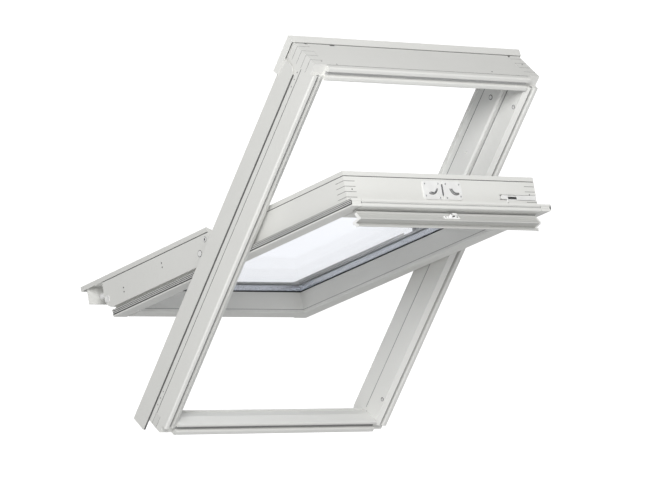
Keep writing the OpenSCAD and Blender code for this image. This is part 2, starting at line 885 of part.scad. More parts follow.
// Lock in the top rail
hook_r = 11;
module lock_hook(x) {
  translate([x, lock_y0 + lock_d / 2 - 4, zt + lock_plate_t]) difference() {
    cylinder(h = 5, r = hook_r);
    translate([0, 0, -1]) cylinder(h = 7, r = hook_r - 2.5);
    translate([-hook_r - 1, 2, -1]) cube([2 * hook_r + 2, hook_r + 2, 7]);
  }
}
module lock_case() {
  color(nylon) swung() {
    for (s = [-1, 1]) difference() {
      box([s < 0 ? -lock_w / 2 : slit_w / 2, lock_y0, zt],
        [s < 0 ? -slit_w / 2 : lock_w / 2, lock_y0 + lock_d, zt + lock_plate_t]);
      translate([s * (lock_w / 4 + 2), lock_y0 + lock_d / 2 - 4, zt - 1])
        cylinder(h = lock_plate_t + 2, r = hook_r - 2.5);
    }
    for (s = [-1, 1]) lock_hook(s * (lock_w / 4 + 2));
  }
}
module lock_tongue() {
  t = slit_w - 0.8;
  color(steel) swung()
    box([-t / 2, tongue_y0, zt - 40], [t / 2, tongue_y1, zt + 4]);
}

// Barrel bolt in its routed slot
module bolt_guides() {
  color(steel) swung() for (x = [xu - 60, xu - 12]) difference() {
    box([x, bolt_y - slot_w / 2, zt - slot_deep], [x + 8, bolt_y + slot_w / 2, zt + 1]);
    rod_x(x - 1, x + 9, bolt_y, bolt_z, bolt_r + run_clear);
  }
}
// Thumb piece of the bolt, with a tail that lies on the rail
knob_len = 24;
knob_out = 2;
module barrel_bolt() {
  knob_x = xu - slot_len + 3;
  half = slot_w / 2 - 1.5;
  color(steel) swung() {
    rod_x(knob_x + 4, xu - 1, bolt_y, bolt_z, bolt_r);
    box([knob_x + half, bolt_y - half, bolt_z - 2], [knob_x + knob_len, bolt_y + half, zt + knob_out]);
    translate([knob_x + half, bolt_y, bolt_z - 2]) cylinder(h = bolt_deep + 2 + knob_out, r = half);
    box([knob_x + knob_len - 5, bolt_y - slot_w, zt + tiny],
      [knob_x + knob_len, bolt_y, zt + knob_out]);
  }
}

// Control bar along the top rail, on a hinge strip
leaf_t = 3;
leaf_w = 18;
module bar_hinge_strip() {
  color(clad) swung() {
    along_x(-bar_x + cap_t + 1, bar_x - cap_t - 1) {
      translate([hinge_y, hinge_z]) circle(rod_r);
      translate([hinge_y, hinge_z - 1]) square([lip_y - hinge_y - leaf_t, 2]);
      translate([lip_y - leaf_t, hinge_z - leaf_w * 2 / 3]) square([leaf_t, leaf_w]);
    }
  }
}
// A folded profile hung from the knuckle: out to a ridge, back to a valley, out to the grip
ridge_y = -bar_reach * 0.54;
ridge_z = 12;
valley_y = -bar_reach * 0.74;
valley_z = -10;
grip_y = -bar_reach;
grip_z = 0;
module leg(a, b, t) {
  d = b - a;
  translate(a) rotate(atan2(d[1], d[0])) translate([0, -t / 2]) square([norm(d), t]);
}
module bar_legs(t) {
  eye = rod_r + run_clear + 1;
  leg([-eye, 1], [ridge_y, ridge_z], t);
  leg([ridge_y, ridge_z], [valley_y, valley_z], t);
  leg([valley_y, valley_z], [grip_y, grip_z], t);
}
module bar_section() {
  mouth = [-bar_drop - bar_play, 0, bar_lift / 2, bar_lift + bar_play];
  translate([hinge_y, hinge_z]) {
    difference() {
      circle(rod_r + run_clear + 2.5);
      circle(rod_r + run_clear);
      polygon(concat([[0, 0]], [for (w = mouth) 12 * [cos(w), sin(w)]]));
    }
    bar_legs(3);
    translate([ridge_y, ridge_z]) circle(2.5);
    translate([valley_y, valley_z]) circle(2);
    translate([grip_y, grip_z]) circle(2.5);
  }
}
module control_bar() {
  color(clad) swung() along_x(-bar_x + cap_t, bar_x - cap_t) bar_section();
}
module bar_end_caps() {
  color(nylon) swung() both_sides()
    along_x(bar_x - cap_t, bar_x) translate([hinge_y, hinge_z]) {
      bar_legs(7);
      translate([ridge_y, ridge_z]) circle(4.5);
      translate([valley_y, valley_z]) circle(4.5);
      translate([grip_y, grip_z]) circle(4.5);
    }
}
module on_upper_leg(x0, x1) {
  d = [ridge_y + rod_r + 1, ridge_z - 1];
  along_x(x0, x1) translate([hinge_y - rod_r - 1, hinge_z + 1]) rotate(atan2(d[1], d[0])) children();
}
module bar_catch() {
  color(nylon) swung() {
    on_upper_leg(-6, 34) translate([4, -4.5]) square([10, 3]);
    on_upper_leg(10, 18) translate([9, -8]) difference() {
      circle(5);
      circle(2.5);
    }
  }
}

head();
sill();
jamb_left();
jamb_right();
stop_bead_left();
stop_bead_right();
bead_gasket_left();
bead_gasket_right();
bead_screws();
head_cover();
side_cover_left();
side_cover_right();
upper_cover_left();
upper_cover_right();
sill_cover();
hinge_bracket_left();
hinge_bracket_right();
pivot_pins();
friction_bushes();
bracket_screws();
bolt_bushes();
lock_keeper();
keeper_screws();
sash_top_rail();
sash_bottom_rail();
sash_stile_left();
sash_stile_right();
side_strip_left();
side_strip_right();
strip_screws();
strip_bushes();
sash_seal_left();
sash_seal_right();
glass_inner();
glass_outer();
spacer();
glazing_gasket_inner();
glazing_gasket_outer();
clad_upper_left();
clad_upper_right();
clad_top();
clad_lower_left();
clad_lower_right();
clad_bottom();
hinge_arm_left();
hinge_arm_right();
arm_screws();
foot_buffers();
lock_case();
lock_tongue();
bolt_guides();
barrel_bolt();
bar_hinge_strip();
control_bar();
bar_end_caps();
bar_catch();
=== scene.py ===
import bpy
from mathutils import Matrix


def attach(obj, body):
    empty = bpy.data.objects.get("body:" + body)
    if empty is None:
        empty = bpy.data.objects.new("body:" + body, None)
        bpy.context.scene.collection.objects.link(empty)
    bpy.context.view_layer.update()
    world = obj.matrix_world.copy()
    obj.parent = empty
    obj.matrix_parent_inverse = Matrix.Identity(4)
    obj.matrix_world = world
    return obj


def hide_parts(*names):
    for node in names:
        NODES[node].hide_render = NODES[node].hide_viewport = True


bl_info = {
    "name": "Centre-Pivot Roof Window",
    "version": (1, 0, 0),
    "blender": (4, 5, 0),
    "location": "View3D > Sidebar > Roof Window",
    "description": "Dresses the roof window's solids with paint, lacquer, seals and fittings",
    "category": "Object",
}

import math

import bmesh
import bpy
from mathutils import Matrix, Vector

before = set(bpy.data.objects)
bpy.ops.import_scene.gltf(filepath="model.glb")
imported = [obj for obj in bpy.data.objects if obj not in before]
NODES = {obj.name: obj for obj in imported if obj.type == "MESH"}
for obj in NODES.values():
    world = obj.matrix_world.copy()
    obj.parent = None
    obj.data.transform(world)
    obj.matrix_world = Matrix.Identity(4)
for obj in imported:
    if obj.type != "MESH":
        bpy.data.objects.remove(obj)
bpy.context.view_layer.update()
MM = 0.001

# The window's own axes in the row frame: x right, y outward, z up the slope
ROOF_LEAN = 35.0
SASH_OPEN = 40.1
PIVOT_Y, PIVOT_Z = 140, 589
LEAN = Matrix.Rotation(math.radians(ROOF_LEAN), 4, "X")
PIVOT = Matrix.Translation((0, PIVOT_Y * MM, PIVOT_Z * MM))
SWING = LEAN @ PIVOT @ Matrix.Rotation(math.radians(SASH_OPEN), 4, "X") @ PIVOT.inverted()

# Pieces are modelled in the window's own axes in millimetres, then put in their place
ON_FRAME = LEAN @ Matrix.Scale(MM, 4)
ON_SASH = SWING @ Matrix.Scale(MM, 4)
MIRROR = Matrix.Diagonal((-1, 1, 1, 1))
FACING_UP = Matrix.Identity(4)
FACING_RIGHT = Matrix.Rotation(math.radians(90), 4, "Y")
FACING_LEFT = Matrix.Rotation(math.radians(-90), 4, "Y")
FACING_OUT = Matrix.Rotation(math.radians(-90), 4, "X")
OUTWARD = ((-1, FACING_LEFT), (1, FACING_RIGHT))
INWARD = ((-1, FACING_RIGHT), (1, FACING_LEFT))

# Nodes of the part by finish
JAMBS = ["jamb_left", "jamb_right", "stop_bead_left", "stop_bead_right"]
STILES = ["sash_stile_left", "sash_stile_right", "side_strip_left", "side_strip_right"]
HEAD_AND_RAILS = ["head", "sash_top_rail", "sash_bottom_rail"]
SHEETS = ["head_cover", "side_cover_left", "side_cover_right", "upper_cover_left",
          "upper_cover_right", "sill_cover", "clad_upper_left", "clad_upper_right", "clad_top",
          "clad_lower_left", "clad_lower_right", "clad_bottom"]
STEEL = ["hinge_bracket_left", "hinge_bracket_right", "pivot_pins", "bracket_screws",
         "bead_screws", "lock_keeper", "keeper_screws", "strip_screws", "hinge_arm_left",
         "hinge_arm_right", "arm_screws", "lock_tongue", "bolt_guides", "barrel_bolt"]
PLASTIC = ["friction_bushes", "bolt_bushes", "strip_bushes", "foot_buffers", "lock_case",
           "bar_end_caps", "bar_catch"]
PALE_GASKETS = ["bead_gasket_left", "bead_gasket_right", "glazing_gasket_outer"]
SEALS = ["sash_seal_left", "sash_seal_right"]
PANES = ["glass_inner", "glass_outer"]

# Tones: shares of a finish's colour; the sill, bar, hinge, groove, lock slot, strip screw and seal
# tones paint shade or highlight
SILL_SHADE_TONE = 0.91
BAR_SHADE_TONE, BAR_HINGE_SHADE_TONE = 0.74, 0.55
GROOVE_SHADE_TONE, HEAD_GROOVE_SHADE_TONE, LOCK_SLOT_SHADE_TONE = 3.0, 5.0, 2.2
STRIP_SCREW_SHADE_TONE, BOLT_TONE, CATCH_TONE = 0.35, 0.3, 1.18
SEAL_WEB_SHADE_TONE, SEAL_RIB_HIGHLIGHT_TONE = 0.15, 1.7

# Roughness from and to
SATIN = (0.32, 0.48)
SOFT = (0.5, 0.7)
DULL = (0.6, 0.8)
MATT = (0.7, 0.85)

# Grain of the timber: stretch of the noise along x, y and z
GRAIN_UP = (1, 0.12, 0.12)
GRAIN_ACROSS = (0.06, 1, 1)


class RoofWindowFinish(bpy.types.PropertyGroup):
    """Colours of the window's finishes"""

    paint: bpy.props.FloatVectorProperty(
        name="Paint", description="White paint on the timber", subtype="COLOR", size=3,
        min=0, max=1, default=(0.72, 0.72, 0.695))
    lacquer: bpy.props.FloatVectorProperty(
        name="Lacquer", description="Lacquer on the folded aluminium", subtype="COLOR", size=3,
        min=0, max=1, default=(0.70, 0.70, 0.675))
    zinc: bpy.props.FloatVectorProperty(
        name="Zinc", description="Zinc plating on the steel fittings", subtype="COLOR", size=3,
        min=0, max=1, default=(0.62, 0.63, 0.64))
    plastic: bpy.props.FloatVectorProperty(
        name="Plastic", description="White plastic of bushes, lock and end caps", subtype="COLOR",
        size=3, min=0, max=1, default=(0.80, 0.80, 0.79))
    rubber: bpy.props.FloatVectorProperty(
        name="Rubber", description="Black rubber of the inner glazing gasket", subtype="COLOR",
        size=3, min=0, max=1, default=(0.02, 0.02, 0.022))
    gasket: bpy.props.FloatVectorProperty(
        name="Pale gasket", description="Pale rubber of the bead gaskets and the outer gasket",
        subtype="COLOR", size=3, min=0, max=1, default=(0.62, 0.62, 0.60))
    seal: bpy.props.FloatVectorProperty(
        name="Seal", description="Grey ribbed seal in the sash lip", subtype="COLOR", size=3,
        min=0, max=1, default=(0.40, 0.40, 0.39))
    # Dark colour of the real comb-joint filler, also used as painted shade in grooves, holes, cover
    # gaps and under caps
    shadow: bpy.props.FloatVectorProperty(
        name="Joint filler", description="Dark filler in the comb joints and under the covers",
        subtype="COLOR", size=3, min=0, max=1, default=(0.10, 0.10, 0.10))
    glass: bpy.props.FloatVectorProperty(
        name="Glass", description="Tint of the panes", subtype="COLOR", size=3,
        min=0, max=1, default=(0.937, 0.945, 0.965))
    spacer: bpy.props.FloatVectorProperty(
        name="Spacer", description="Bare aluminium of the spacer bar", subtype="COLOR", size=3,
        min=0, max=1, default=(0.57, 0.59, 0.63))


class RoofWindowStage(bpy.types.PropertyGroup):
    """Camera and light"""

    lens: bpy.props.FloatProperty(
        name="Lens", description="Focal length of the camera", subtype="DISTANCE_CAMERA",
        default=223.0, min=50, max=400)
    distance: bpy.props.FloatProperty(
        name="Distance", description="From the camera to the middle of the picture",
        unit="LENGTH", default=10.9247, min=5, max=20)
    key_power: bpy.props.FloatProperty(
        name="Key light", description="Power of the large light at the left",
        unit="POWER", default=480.0, min=0, max=3000)
    sky: bpy.props.FloatProperty(
        name="Sky", description="Strength of the even light all round", default=0.27, min=0, max=3)


def grey(value):
    return (value, value, value, 1)


def shade(colour, tone):
    return (colour[0] * tone, colour[1] * tone, colour[2] * tone, 1)


def new_material(name):
    mat = bpy.data.materials.new(name)
    mat.use_nodes = True
    tree = mat.node_tree
    return mat, tree, tree.nodes["Principled BSDF"]


def object_noise(tree, scale, detail=3.0, stretch=(1, 1, 1)):
    """Noise on Object coordinates, in cells per metre."""
    place = tree.nodes.new("ShaderNodeTexCoord")
    turn = tree.nodes.new("ShaderNodeMapping")
    turn.inputs["Scale"].default_value = stretch
    noise = tree.nodes.new("ShaderNodeTexNoise")
    noise.inputs["Scale"].default_value = scale
    noise.inputs["Detail"].default_value = detail
    tree.links.new(place.outputs["Object"], turn.inputs["Vector"])
    tree.links.new(turn.outputs["Vector"], noise.inputs["Vector"])
    return noise.outputs["Fac"]


def ramp(tree, source, low, high, target, start=0.35, end=0.65):
    """Turn a noise into a range of tones and feed it to a socket."""
    node = tree.nodes.new("ShaderNodeValToRGB")
    node.color_ramp.elements[0].position = start
    node.color_ramp.elements[0].color = low
    node.color_ramp.elements[1].position = end
    node.color_ramp.elements[1].color = high
    tree.links.new(source, node.inputs["Fac"])
    tree.links.new(node.outputs["Color"], target)


def bump(tree, shader, source, height, strength):
    node = tree.nodes.new("ShaderNodeBump")
    node.inputs["Distance"].default_value = height
    node.inputs["Strength"].default_value = strength
    tree.links.new(source, node.inputs["Height"])
    tree.links.new(node.outputs["Normal"], shader.inputs["Normal"])


def painted_timber(name, colour, stretch):
    """Sprayed paint on pine: a faint grain under it and a slight unevenness."""
    mat, tree, shader = new_material(name)
    cloud = object_noise(tree, scale=5.0, detail=4.0)
    ramp(tree, cloud, shade(colour, 0.965), shade(colour, 1.0), shader.inputs["Base Color"],
         start=0.3, end=0.7)
    grain = object_noise(tree, scale=900.0, stretch=stretch)
    ramp(tree, grain, grey(0.34), grey(0.46), shader.inputs["Roughness"])
    bump(tree, shader, grain, height=0.00015, strength=0.18)
    shader.inputs["Specular IOR Level"].default_value = 0.45
    return mat


def lacquered_sheet(name, colour):
    """Powder-coated aluminium: fine orange peel, satin."""
    mat, tree, shader = new_material(name)
    cloud = object_noise(tree, scale=9.0)
    ramp(tree, cloud, shade(colour, 0.98), shade(colour, 1.0), shader.inputs["Base Color"],
         start=0.3, end=0.7)
    peel = object_noise(tree, scale=1400.0, detail=2.0)
    ramp(tree, peel, grey(0.30), grey(0.42), shader.inputs["Roughness"])
    bump(tree, shader, peel, height=0.0001, strength=0.15)
    return mat


def plated_steel(name, colour):
    """Bright zinc: metallic, with a fine spangle."""
    mat, tree, shader = new_material(name)
    spangle = object_noise(tree, scale=350.0, detail=4.0)
    ramp(tree, spangle, shade(colour, 0.82), shade(colour, 1.0), shader.inputs["Base Color"])
    ramp(tree, spangle, grey(0.24), grey(0.42), shader.inputs["Roughness"])
    shader.inputs["Metallic"].default_value = 1.0
    return mat


def moulded(name, colour, roughness):
    """Moulded plastic or rubber with a fine spark-eroded texture."""
    mat, tree, shader = new_material(name)
    cloud = object_noise(tree, scale=30.0)
    ramp(tree, cloud, shade(colour, 0.93), shade(colour, 1.0), shader.inputs["Base Color"])
    grain = object_noise(tree, scale=2200.0, detail=2.0)
    low, high = roughness
    ramp(tree, grain, grey(low), grey(high), shader.inputs["Roughness"])
    bump(tree, shader, grain, height=0.0001, strength=0.2)
    return mat


def clear_pane(name, colour):
    """Coated glass: clear, hardly reflecting, with a slight unevenness."""
    mat, tree, shader = new_material(name)
    haze = object_noise(tree, scale=3.0, detail=2.0)
    ramp(tree, haze, shade(colour, 0.985), shade(colour, 1.0), shader.inputs["Base Color"])
    shader.inputs["Transmission Weight"].default_value = 1.0
    shader.inputs["Roughness"].default_value = 0.0
    shader.inputs["IOR"].default_value = 1.05
    return mat


def give(names, mat):
    """Put one material on nodes of the part."""
    for name in names:
        data = NODES[name].data
        data.materials.clear()
        data.materials.append(mat)


def at(x, y, z, turn=FACING_UP):
    return Matrix.Translation((x, y, z)) @ turn


def around(middle, half):
    return (middle - half, middle + half)


def ease_edges(bm, edges, offset, segments, clamp=True):
    bmesh.ops.bevel(bm, geom=edges, offset=offset, offset_type="OFFSET", affect="EDGES",
                    segments=segments, profile=0.5, material=-1, clamp_overlap=clamp)


def slab(bm, low, high, ease=0.0):
    """Block between two corners, with its edges eased."""
    low, high = Vector(low), Vector(high)
    place = Matrix.Translation((low + high) / 2) @ Matrix.Diagonal((*(high - low), 1))
    made = bmesh.ops.create_cube(bm, size=1.0, matrix=place)
    if ease:
        ease_edges(bm, list({e for v in made["verts"] for e in v.link_edges}), ease, 2)


def block(bm, side, x, y, z, ease=0.0):
    """Block on one side of the window, from its reach in x, y and z."""
    x0, x1 = sorted((side * x[0], side * x[1]))
    slab(bm, (x0, y[0], z[0]), (x1, y[1], z[1]), ease)


def pair(bm, x, y, z, ease=0.0):
    """The same block on the left and on the right."""
    for side in (-1, 1):
        block(bm, side, x, y, z, ease)


def across(bm, x, y, z):
    """Block from one side of the window to the other."""
    slab(bm, (-x, y[0], z[0]), (x, y[1], z[1]))


def rounded_plate(bm, low, high, corner, rim, is_round):
    """Plate with some of its upright corners round and its top rim eased."""
    start = bmesh.new()
    slab(start, low, high)
    upright = [e for e in start.edges
               if e.verts[0].co.xy == e.verts[1].co.xy and is_round(e.verts[0].co.x)]
    ease_edges(start, upright, corner, 6, clamp=False)
    middle = (low[2] + high[2]) / 2
    top = [e for e in start.edges if all(v.co.z > middle for v in e.verts)]
    ease_edges(start, top, rim, 2, clamp=False)
    part = bpy.data.meshes.new("plate")
    start.to_mesh(part)
    start.free()
    bm.from_mesh(part)
    bpy.data.meshes.remove(part)


def thicken(bm, faces, push):
    """Push flat faces along to a closed solid."""
    made = bmesh.ops.extrude_face_region(bm, geom=faces)
    moved = [v for v in made["geom"] if isinstance(v, bmesh.types.BMVert)]
    bmesh.ops.translate(bm, verts=moved, vec=push)


def folded(bm, outline, push):
    """Folded sheet: its section, pushed along to its length."""
    thicken(bm, [bm.faces.new([bm.verts.new(point) for point in outline])], push)


def disc(bm, place, radius, height, steps=24, ease=0.0):
    """Short round block whose foot is at the place and whose top looks along its axis."""
    made = bmesh.ops.create_cone(bm, cap_ends=True, segments=steps, radius1=radius,
                                 radius2=radius, depth=height,
                                 matrix=place @ Matrix.Translation((0, 0, height / 2)))
    if ease:
        top = place @ Vector((0, 0, height))
        axis = (place.to_3x3() @ Vector((0, 0, 1))).normalized()
        rim = [e for e in {e for v in made["verts"] for e in v.link_edges}
               if all(abs((v.co - top).dot(axis)) < 1e-4 for v in e.verts)]
        ease_edges(bm, rim, ease, 3)


def arc(bm, place, radius, wide, high, start, sweep, steps=24):
    """Bar of rectangular section bent round the place's axis."""
    half = wide / 2
    turn = place @ Matrix.Rotation(math.radians(start), 4, "Z")
    corners = [(radius - half, 0, 0), (radius + half, 0, 0), (radius + half, 0, high),
               (radius - half, 0, high)]
    verts = [bm.verts.new(turn @ Vector(c)) for c in corners]
    face = bm.faces.new(verts)
    whole = abs(sweep) >= 360
    geom = list(face.edges) + verts + ([] if whole else [face])
    if whole:
        bm.faces.remove(face)
    bmesh.ops.spin(bm, geom=geom, cent=place.translation,
                   axis=(place.to_3x3() @ Vector((0, 0, 1))).normalized(),
                   angle=math.radians(sweep), steps=steps, use_merge=whole)


# Screw heads: shares of the head's radius, and of its height for the recess
CROWN_SHARE, RIM_SHARE, CROSS_ROOT, RECESS_SHARE = 0.72, 0.22, 0.42, 0.6
CROSS_EDGE = 0.45


def cross_screw(bm, place, radius, height):
    """Pan head with a cross recess."""
    made = bmesh.ops.create_cone(bm, cap_ends=True, segments=24, radius1=radius,
                                 radius2=radius * CROWN_SHARE, depth=height,
                                 matrix=place @ Matrix.Translation((0, 0, height / 2)))
    crown = place @ Vector((0, 0, height))
    faces = {f for v in made["verts"] for f in v.link_faces}
    top = min(faces, key=lambda f: (f.calc_center_median() - crown).length)
    bmesh.ops.inset_region(bm, faces=[top], thickness=radius * RIM_SHARE)
    home = place.inverted()
    for v in top.verts:
        spot = home @ v.co
        if abs(math.sin(2 * math.atan2(spot.y, spot.x))) > CROSS_EDGE:
            spot.x, spot.y = spot.x * CROSS_ROOT, spot.y * CROSS_ROOT
            v.co = place @ spot
    deeper = bmesh.ops.extrude_discrete_faces(bm, faces=[top])["faces"][0]
    sink = place.to_3x3() @ Vector((0, 0, -height * RECESS_SHARE))
    bmesh.ops.translate(bm, verts=deeper.verts, vec=sink)


def settle(bm, name, body, slot, mat, place, *stands_for):
    """Put a finished piece in its place and let it ride on its body."""
    bmesh.ops.transform(bm, matrix=place, verts=bm.verts)
    bmesh.ops.recalc_face_normals(bm, faces=bm.faces)
    mesh = bpy.data.meshes.new(name)
    bm.to_mesh(mesh)
    bm.free()
    mesh.materials.append(mat)
    piece = bpy.data.objects.new(name, mesh)
    bpy.context.scene.collection.objects.link(piece)
    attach(piece, body)
    if stands_for:
        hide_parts(*stands_for)


class ROOFWINDOW_OT_timber(bpy.types.Operator):
    """Paint on the timber of frame and sash, with a darker copy on the sill as painted shade"""

    bl_idname = "roofwindow.timber"
    bl_label = "Timber"

    def execute(self, context):
        colour = context.scene.roofwindow_finish.paint
        give(JAMBS + STILES, painted_timber("paint_up_the_slope", colour, GRAIN_UP))
        give(HEAD_AND_RAILS, painted_timber("paint_across", colour, GRAIN_ACROSS))
        # Darker paint on the sill: painted shade
        give(["sill"], painted_timber("shaded_paint_on_sill", shade(colour, SILL_SHADE_TONE), GRAIN_ACROSS))
        return {"FINISHED"}


# Comb joints of the frame: reach in x and z, depth of a layer, lines and half a line's width
FRAME_COMB_X = (349.5, 389.8)
HEAD_COMB_Z, HEAD_LAYER, HEAD_LINES, HEAD_LINE = (1137.5, 1177.8), 22, 4, 0.55
SILL_COMB_Z, SILL_LAYER, SILL_LINES, SILL_LINE = (0.5, 36), 21, 2, 0.5

# Other dark lines and marks of the frame, reach in x, y and z: the strips in the grooves, quirk and
# hood line and the discs in the holes are painted shade
BEAD_GROOVE = ((334.8, 336.5), (116.0, 118.4), (660, 1136))
JAMB_GROOVE = ((387.6, 389.4), (39.1, 41.4), (0.5, 1136))
HEAD_QUIRK = (348.5, (-1.2, 1.2), (1175.5, 1177.2))
HOOD_LINE = (388, (104.2, 105.8), (1178.05, 1178.55))
HEAD_CLIP = ((-273, 99.5, 1178), (-258, 104.5, 1179.2))
HEAD_CLIP_EASE = 0.4
HEAD_PINS = ((-356, 17), (-313, 5), (228, 12), (371, 60))
HEAD_PIN_Z, HEAD_PIN_R, HEAD_PIN_H = 1177.8, 1.8, 0.5
HOLE_X, HOLE_Y, HOLE_R, HOLE_H = 388.6, 50, 2.2, 0.3
HOLE_Z = (57, 79, 101, 1077, 1099, 1121)

# Painted shade: dark strips in the lining groove of the frame and at the jamb's step, and a dark
# strip behind the side covers' edges
GROOVE_Y = (-4.8, -4.02)
LINING_EDGE = ((349.4, 350.9), (49.0, 50.6), (42, 1136))
JAMB_LINING = ((364.6, 374.4), GROOVE_Y, (22, 1148))
SILL_LINING = (348, GROOVE_Y, (15.6, 25.4))
HEAD_LINING = (348, GROOVE_Y, (1152.6, 1162.4))
COVER_SHADE = ((390.1, 393.6), (56.4, 58.9), (-32, 1109))
COVER_SHADE_EASE = 0.5

# Comb joints of the sash
SASH_COMB_X = (293.5, 329.8)
SASH_COMB_Y, SASH_LAYER, SASH_LINES, SASH_LINE = 50, 14.6, 4, 0.8
TOP_COMB_Z, FOOT_COMB_Z = (1060.5, 1095.8), (40.5, 91.5)
JOINT_PIN_X, JOINT_PIN_Y, JOINT_PIN_Z, JOINT_PIN_R, JOINT_PIN_H = 307, 86, 1095.6, 2.0, 0.6

# Other dark lines of the sash, all painted shade: under the cladding edges, at the lip's end, in
# the lip's cove and along the inner edges
CLAD_LINE_Y = (121.0, 122.9)
STILE_CLAD_LINE = ((327.9, 329.2), CLAD_LINE_Y, (519.5, 1093.7))
RAIL_CLAD_LINE = (329.2, CLAD_LINE_Y, (1093.9, 1095.2))
STRIP_CLAD_LINE = ((342.9, 344.2), (136.0, 137.9), (15, 518.5))
LIP_END_LINE = ((309.0, 309.8), (36.0, 49.0), (1097, 1127.5))
LIP_COVE_LINE = (309, (40.7, 41.8), (1126.2, 1127.2))
EDGE_LINE_Y = (40.4, 41.9)
STILE_EDGE_LINE = ((292.8, 293.2), EDGE_LINE_Y, (92, 1021))
RAIL_EDGE_LINES = ((293, EDGE_LINE_Y, (91.8, 92.2)), (293, EDGE_LINE_Y, (1020.8, 1021.2)))


class ROOFWINDOW_OT_joints(bpy.types.Operator):
    """Dark filler in the comb joints, joint pins, and painted shade in the grooves, holes and
    behind the side covers
    """

    bl_idname = "roofwindow.joints"
    bl_label = "Joints"

    def execute(self, context):
        shadow = context.scene.roofwindow_finish.shadow
        filler = moulded("joint_fill_and_painted_shade", shadow, MATT)
        self.on_frame(filler, shadow)
        self.on_sash(filler, shadow)
        # Dark strip in the gap behind each side cover's edge: painted shade
        bm = bmesh.new()
        pair(bm, *COVER_SHADE, COVER_SHADE_EASE)
        settle(bm, "cover_edge_shade", "frame", "rubber", filler, ON_FRAME)
        return {"FINISHED"}

    def on_frame(self, filler, shadow):
        bm = bmesh.new()
        for k in range(1, HEAD_LINES + 1):
            pair(bm, FRAME_COMB_X, around(k * HEAD_LAYER, HEAD_LINE), HEAD_COMB_Z)
        for k in range(1, SILL_LINES + 1):
            pair(bm, FRAME_COMB_X, around(k * SILL_LAYER, SILL_LINE), SILL_COMB_Z)
        # Dark strips in the bead and jamb grooves, quirk and hood line, and dark discs in the
        # holes: painted shade
        pair(bm, *BEAD_GROOVE)
        pair(bm, *JAMB_GROOVE)
        for side, turn in OUTWARD:
            for z in HOLE_Z:
                disc(bm, at(side * HOLE_X, HOLE_Y, z, turn), HOLE_R, HOLE_H, 16)
        across(bm, *HEAD_QUIRK)
        across(bm, *HOOD_LINE)
        slab(bm, *HEAD_CLIP, HEAD_CLIP_EASE)
        for x, y in HEAD_PINS:
            disc(bm, at(x, y, HEAD_PIN_Z), HEAD_PIN_R, HEAD_PIN_H, 12)
        settle(bm, "frame_joints_and_painted_shade", "frame", "rubber", filler, ON_FRAME)
        # Dark strips in the lining groove and at the jamb's step, a lighter one in the head's
        # groove: painted shade
        bm = bmesh.new()
        pair(bm, *LINING_EDGE)
        pair(bm, *JAMB_LINING)
        across(bm, *SILL_LINING)
        groove = moulded("groove_painted_shade", shade(shadow, GROOVE_SHADE_TONE), MATT)
        settle(bm, "lining_groove_shade", "frame", "rubber", groove, ON_FRAME)
        bm = bmesh.new()
        across(bm, *HEAD_LINING)
        groove = moulded("head_groove_shade", shade(shadow, HEAD_GROOVE_SHADE_TONE), MATT)
        settle(bm, "head_groove_shade", "frame", "rubber", groove, ON_FRAME)

    def on_sash(self, filler, shadow):
        bm = bmesh.new()
        for k in range(1, SASH_LINES + 1):
            line = around(SASH_COMB_Y + k * SASH_LAYER, SASH_LINE)
            pair(bm, SASH_COMB_X, line, TOP_COMB_Z)
            pair(bm, SASH_COMB_X, line, FOOT_COMB_Z)
        # Dark strips under the cladding edges and at the lip's end: painted shade
        pair(bm, *STILE_CLAD_LINE)
        pair(bm, *STRIP_CLAD_LINE)
        pair(bm, *LIP_END_LINE)
        across(bm, *RAIL_CLAD_LINE)
        settle(bm, "sash_joints_and_painted_shade", "sash", "rubber", filler, ON_SASH)
        # Dark lines along the inner edges and in the lip's cove: painted shade
        bm = bmesh.new()
        pair(bm, *STILE_EDGE_LINE)
        for line in RAIL_EDGE_LINES:
            across(bm, *line)
        across(bm, *LIP_COVE_LINE)
        edge = moulded("edge_painted_shade", shade(shadow, GROOVE_SHADE_TONE), MATT)
        settle(bm, "sash_edge_shade", "sash", "rubber", edge, ON_SASH)
        bm = bmesh.new()
        for side in (-1, 1):
            disc(bm, at(side * JOINT_PIN_X, JOINT_PIN_Y, JOINT_PIN_Z), JOINT_PIN_R, JOINT_PIN_H, 12)
        settle(bm, "joint_pins", "sash", "steel", filler, ON_SASH)


class ROOFWINDOW_OT_cladding(bpy.types.Operator):
    """Lacquer on the folded aluminium and the control bar; the bar and its hinge strip get darker
    copies as painted shade
    """

    bl_idname = "roofwindow.cladding"
    bl_label = "Cladding"

    def execute(self, context):
        colour = context.scene.roofwindow_finish.lacquer
        give(SHEETS, lacquered_sheet("sheet_lacquer", colour))
        # Darker lacquer on the bar and its hinge strip: painted shade
        give(["control_bar"], lacquered_sheet("bar_shaded_lacquer", shade(colour, BAR_SHADE_TONE)))
        strip = lacquered_sheet("bar_hinge_shaded_lacquer", shade(colour, BAR_HINGE_SHADE_TONE))
        give(["bar_hinge_strip"], strip)
        return {"FINISHED"}


# Sloping cladding of the sash: its edge over the glass, its outer edges and its folds
EDGE_X, EDGE_Y, EDGE_LOW_Z, EDGE_TOP_Z = 285, 121.8, 100, 1013
SLOPE_T = 1.4
FOLD = 2
SASH_Y = 123
STRIP_Y = 138
UPPER_X, UPPER_Y, UPPER_Z = 330, 135, 1096
LOWER_X, LOWER_Y, FOOT_Z = 346.5, 151, -87
STEP_Z = 519
APRON_X, APRON_Y, APRON_Z = 341, (95, 146), -66


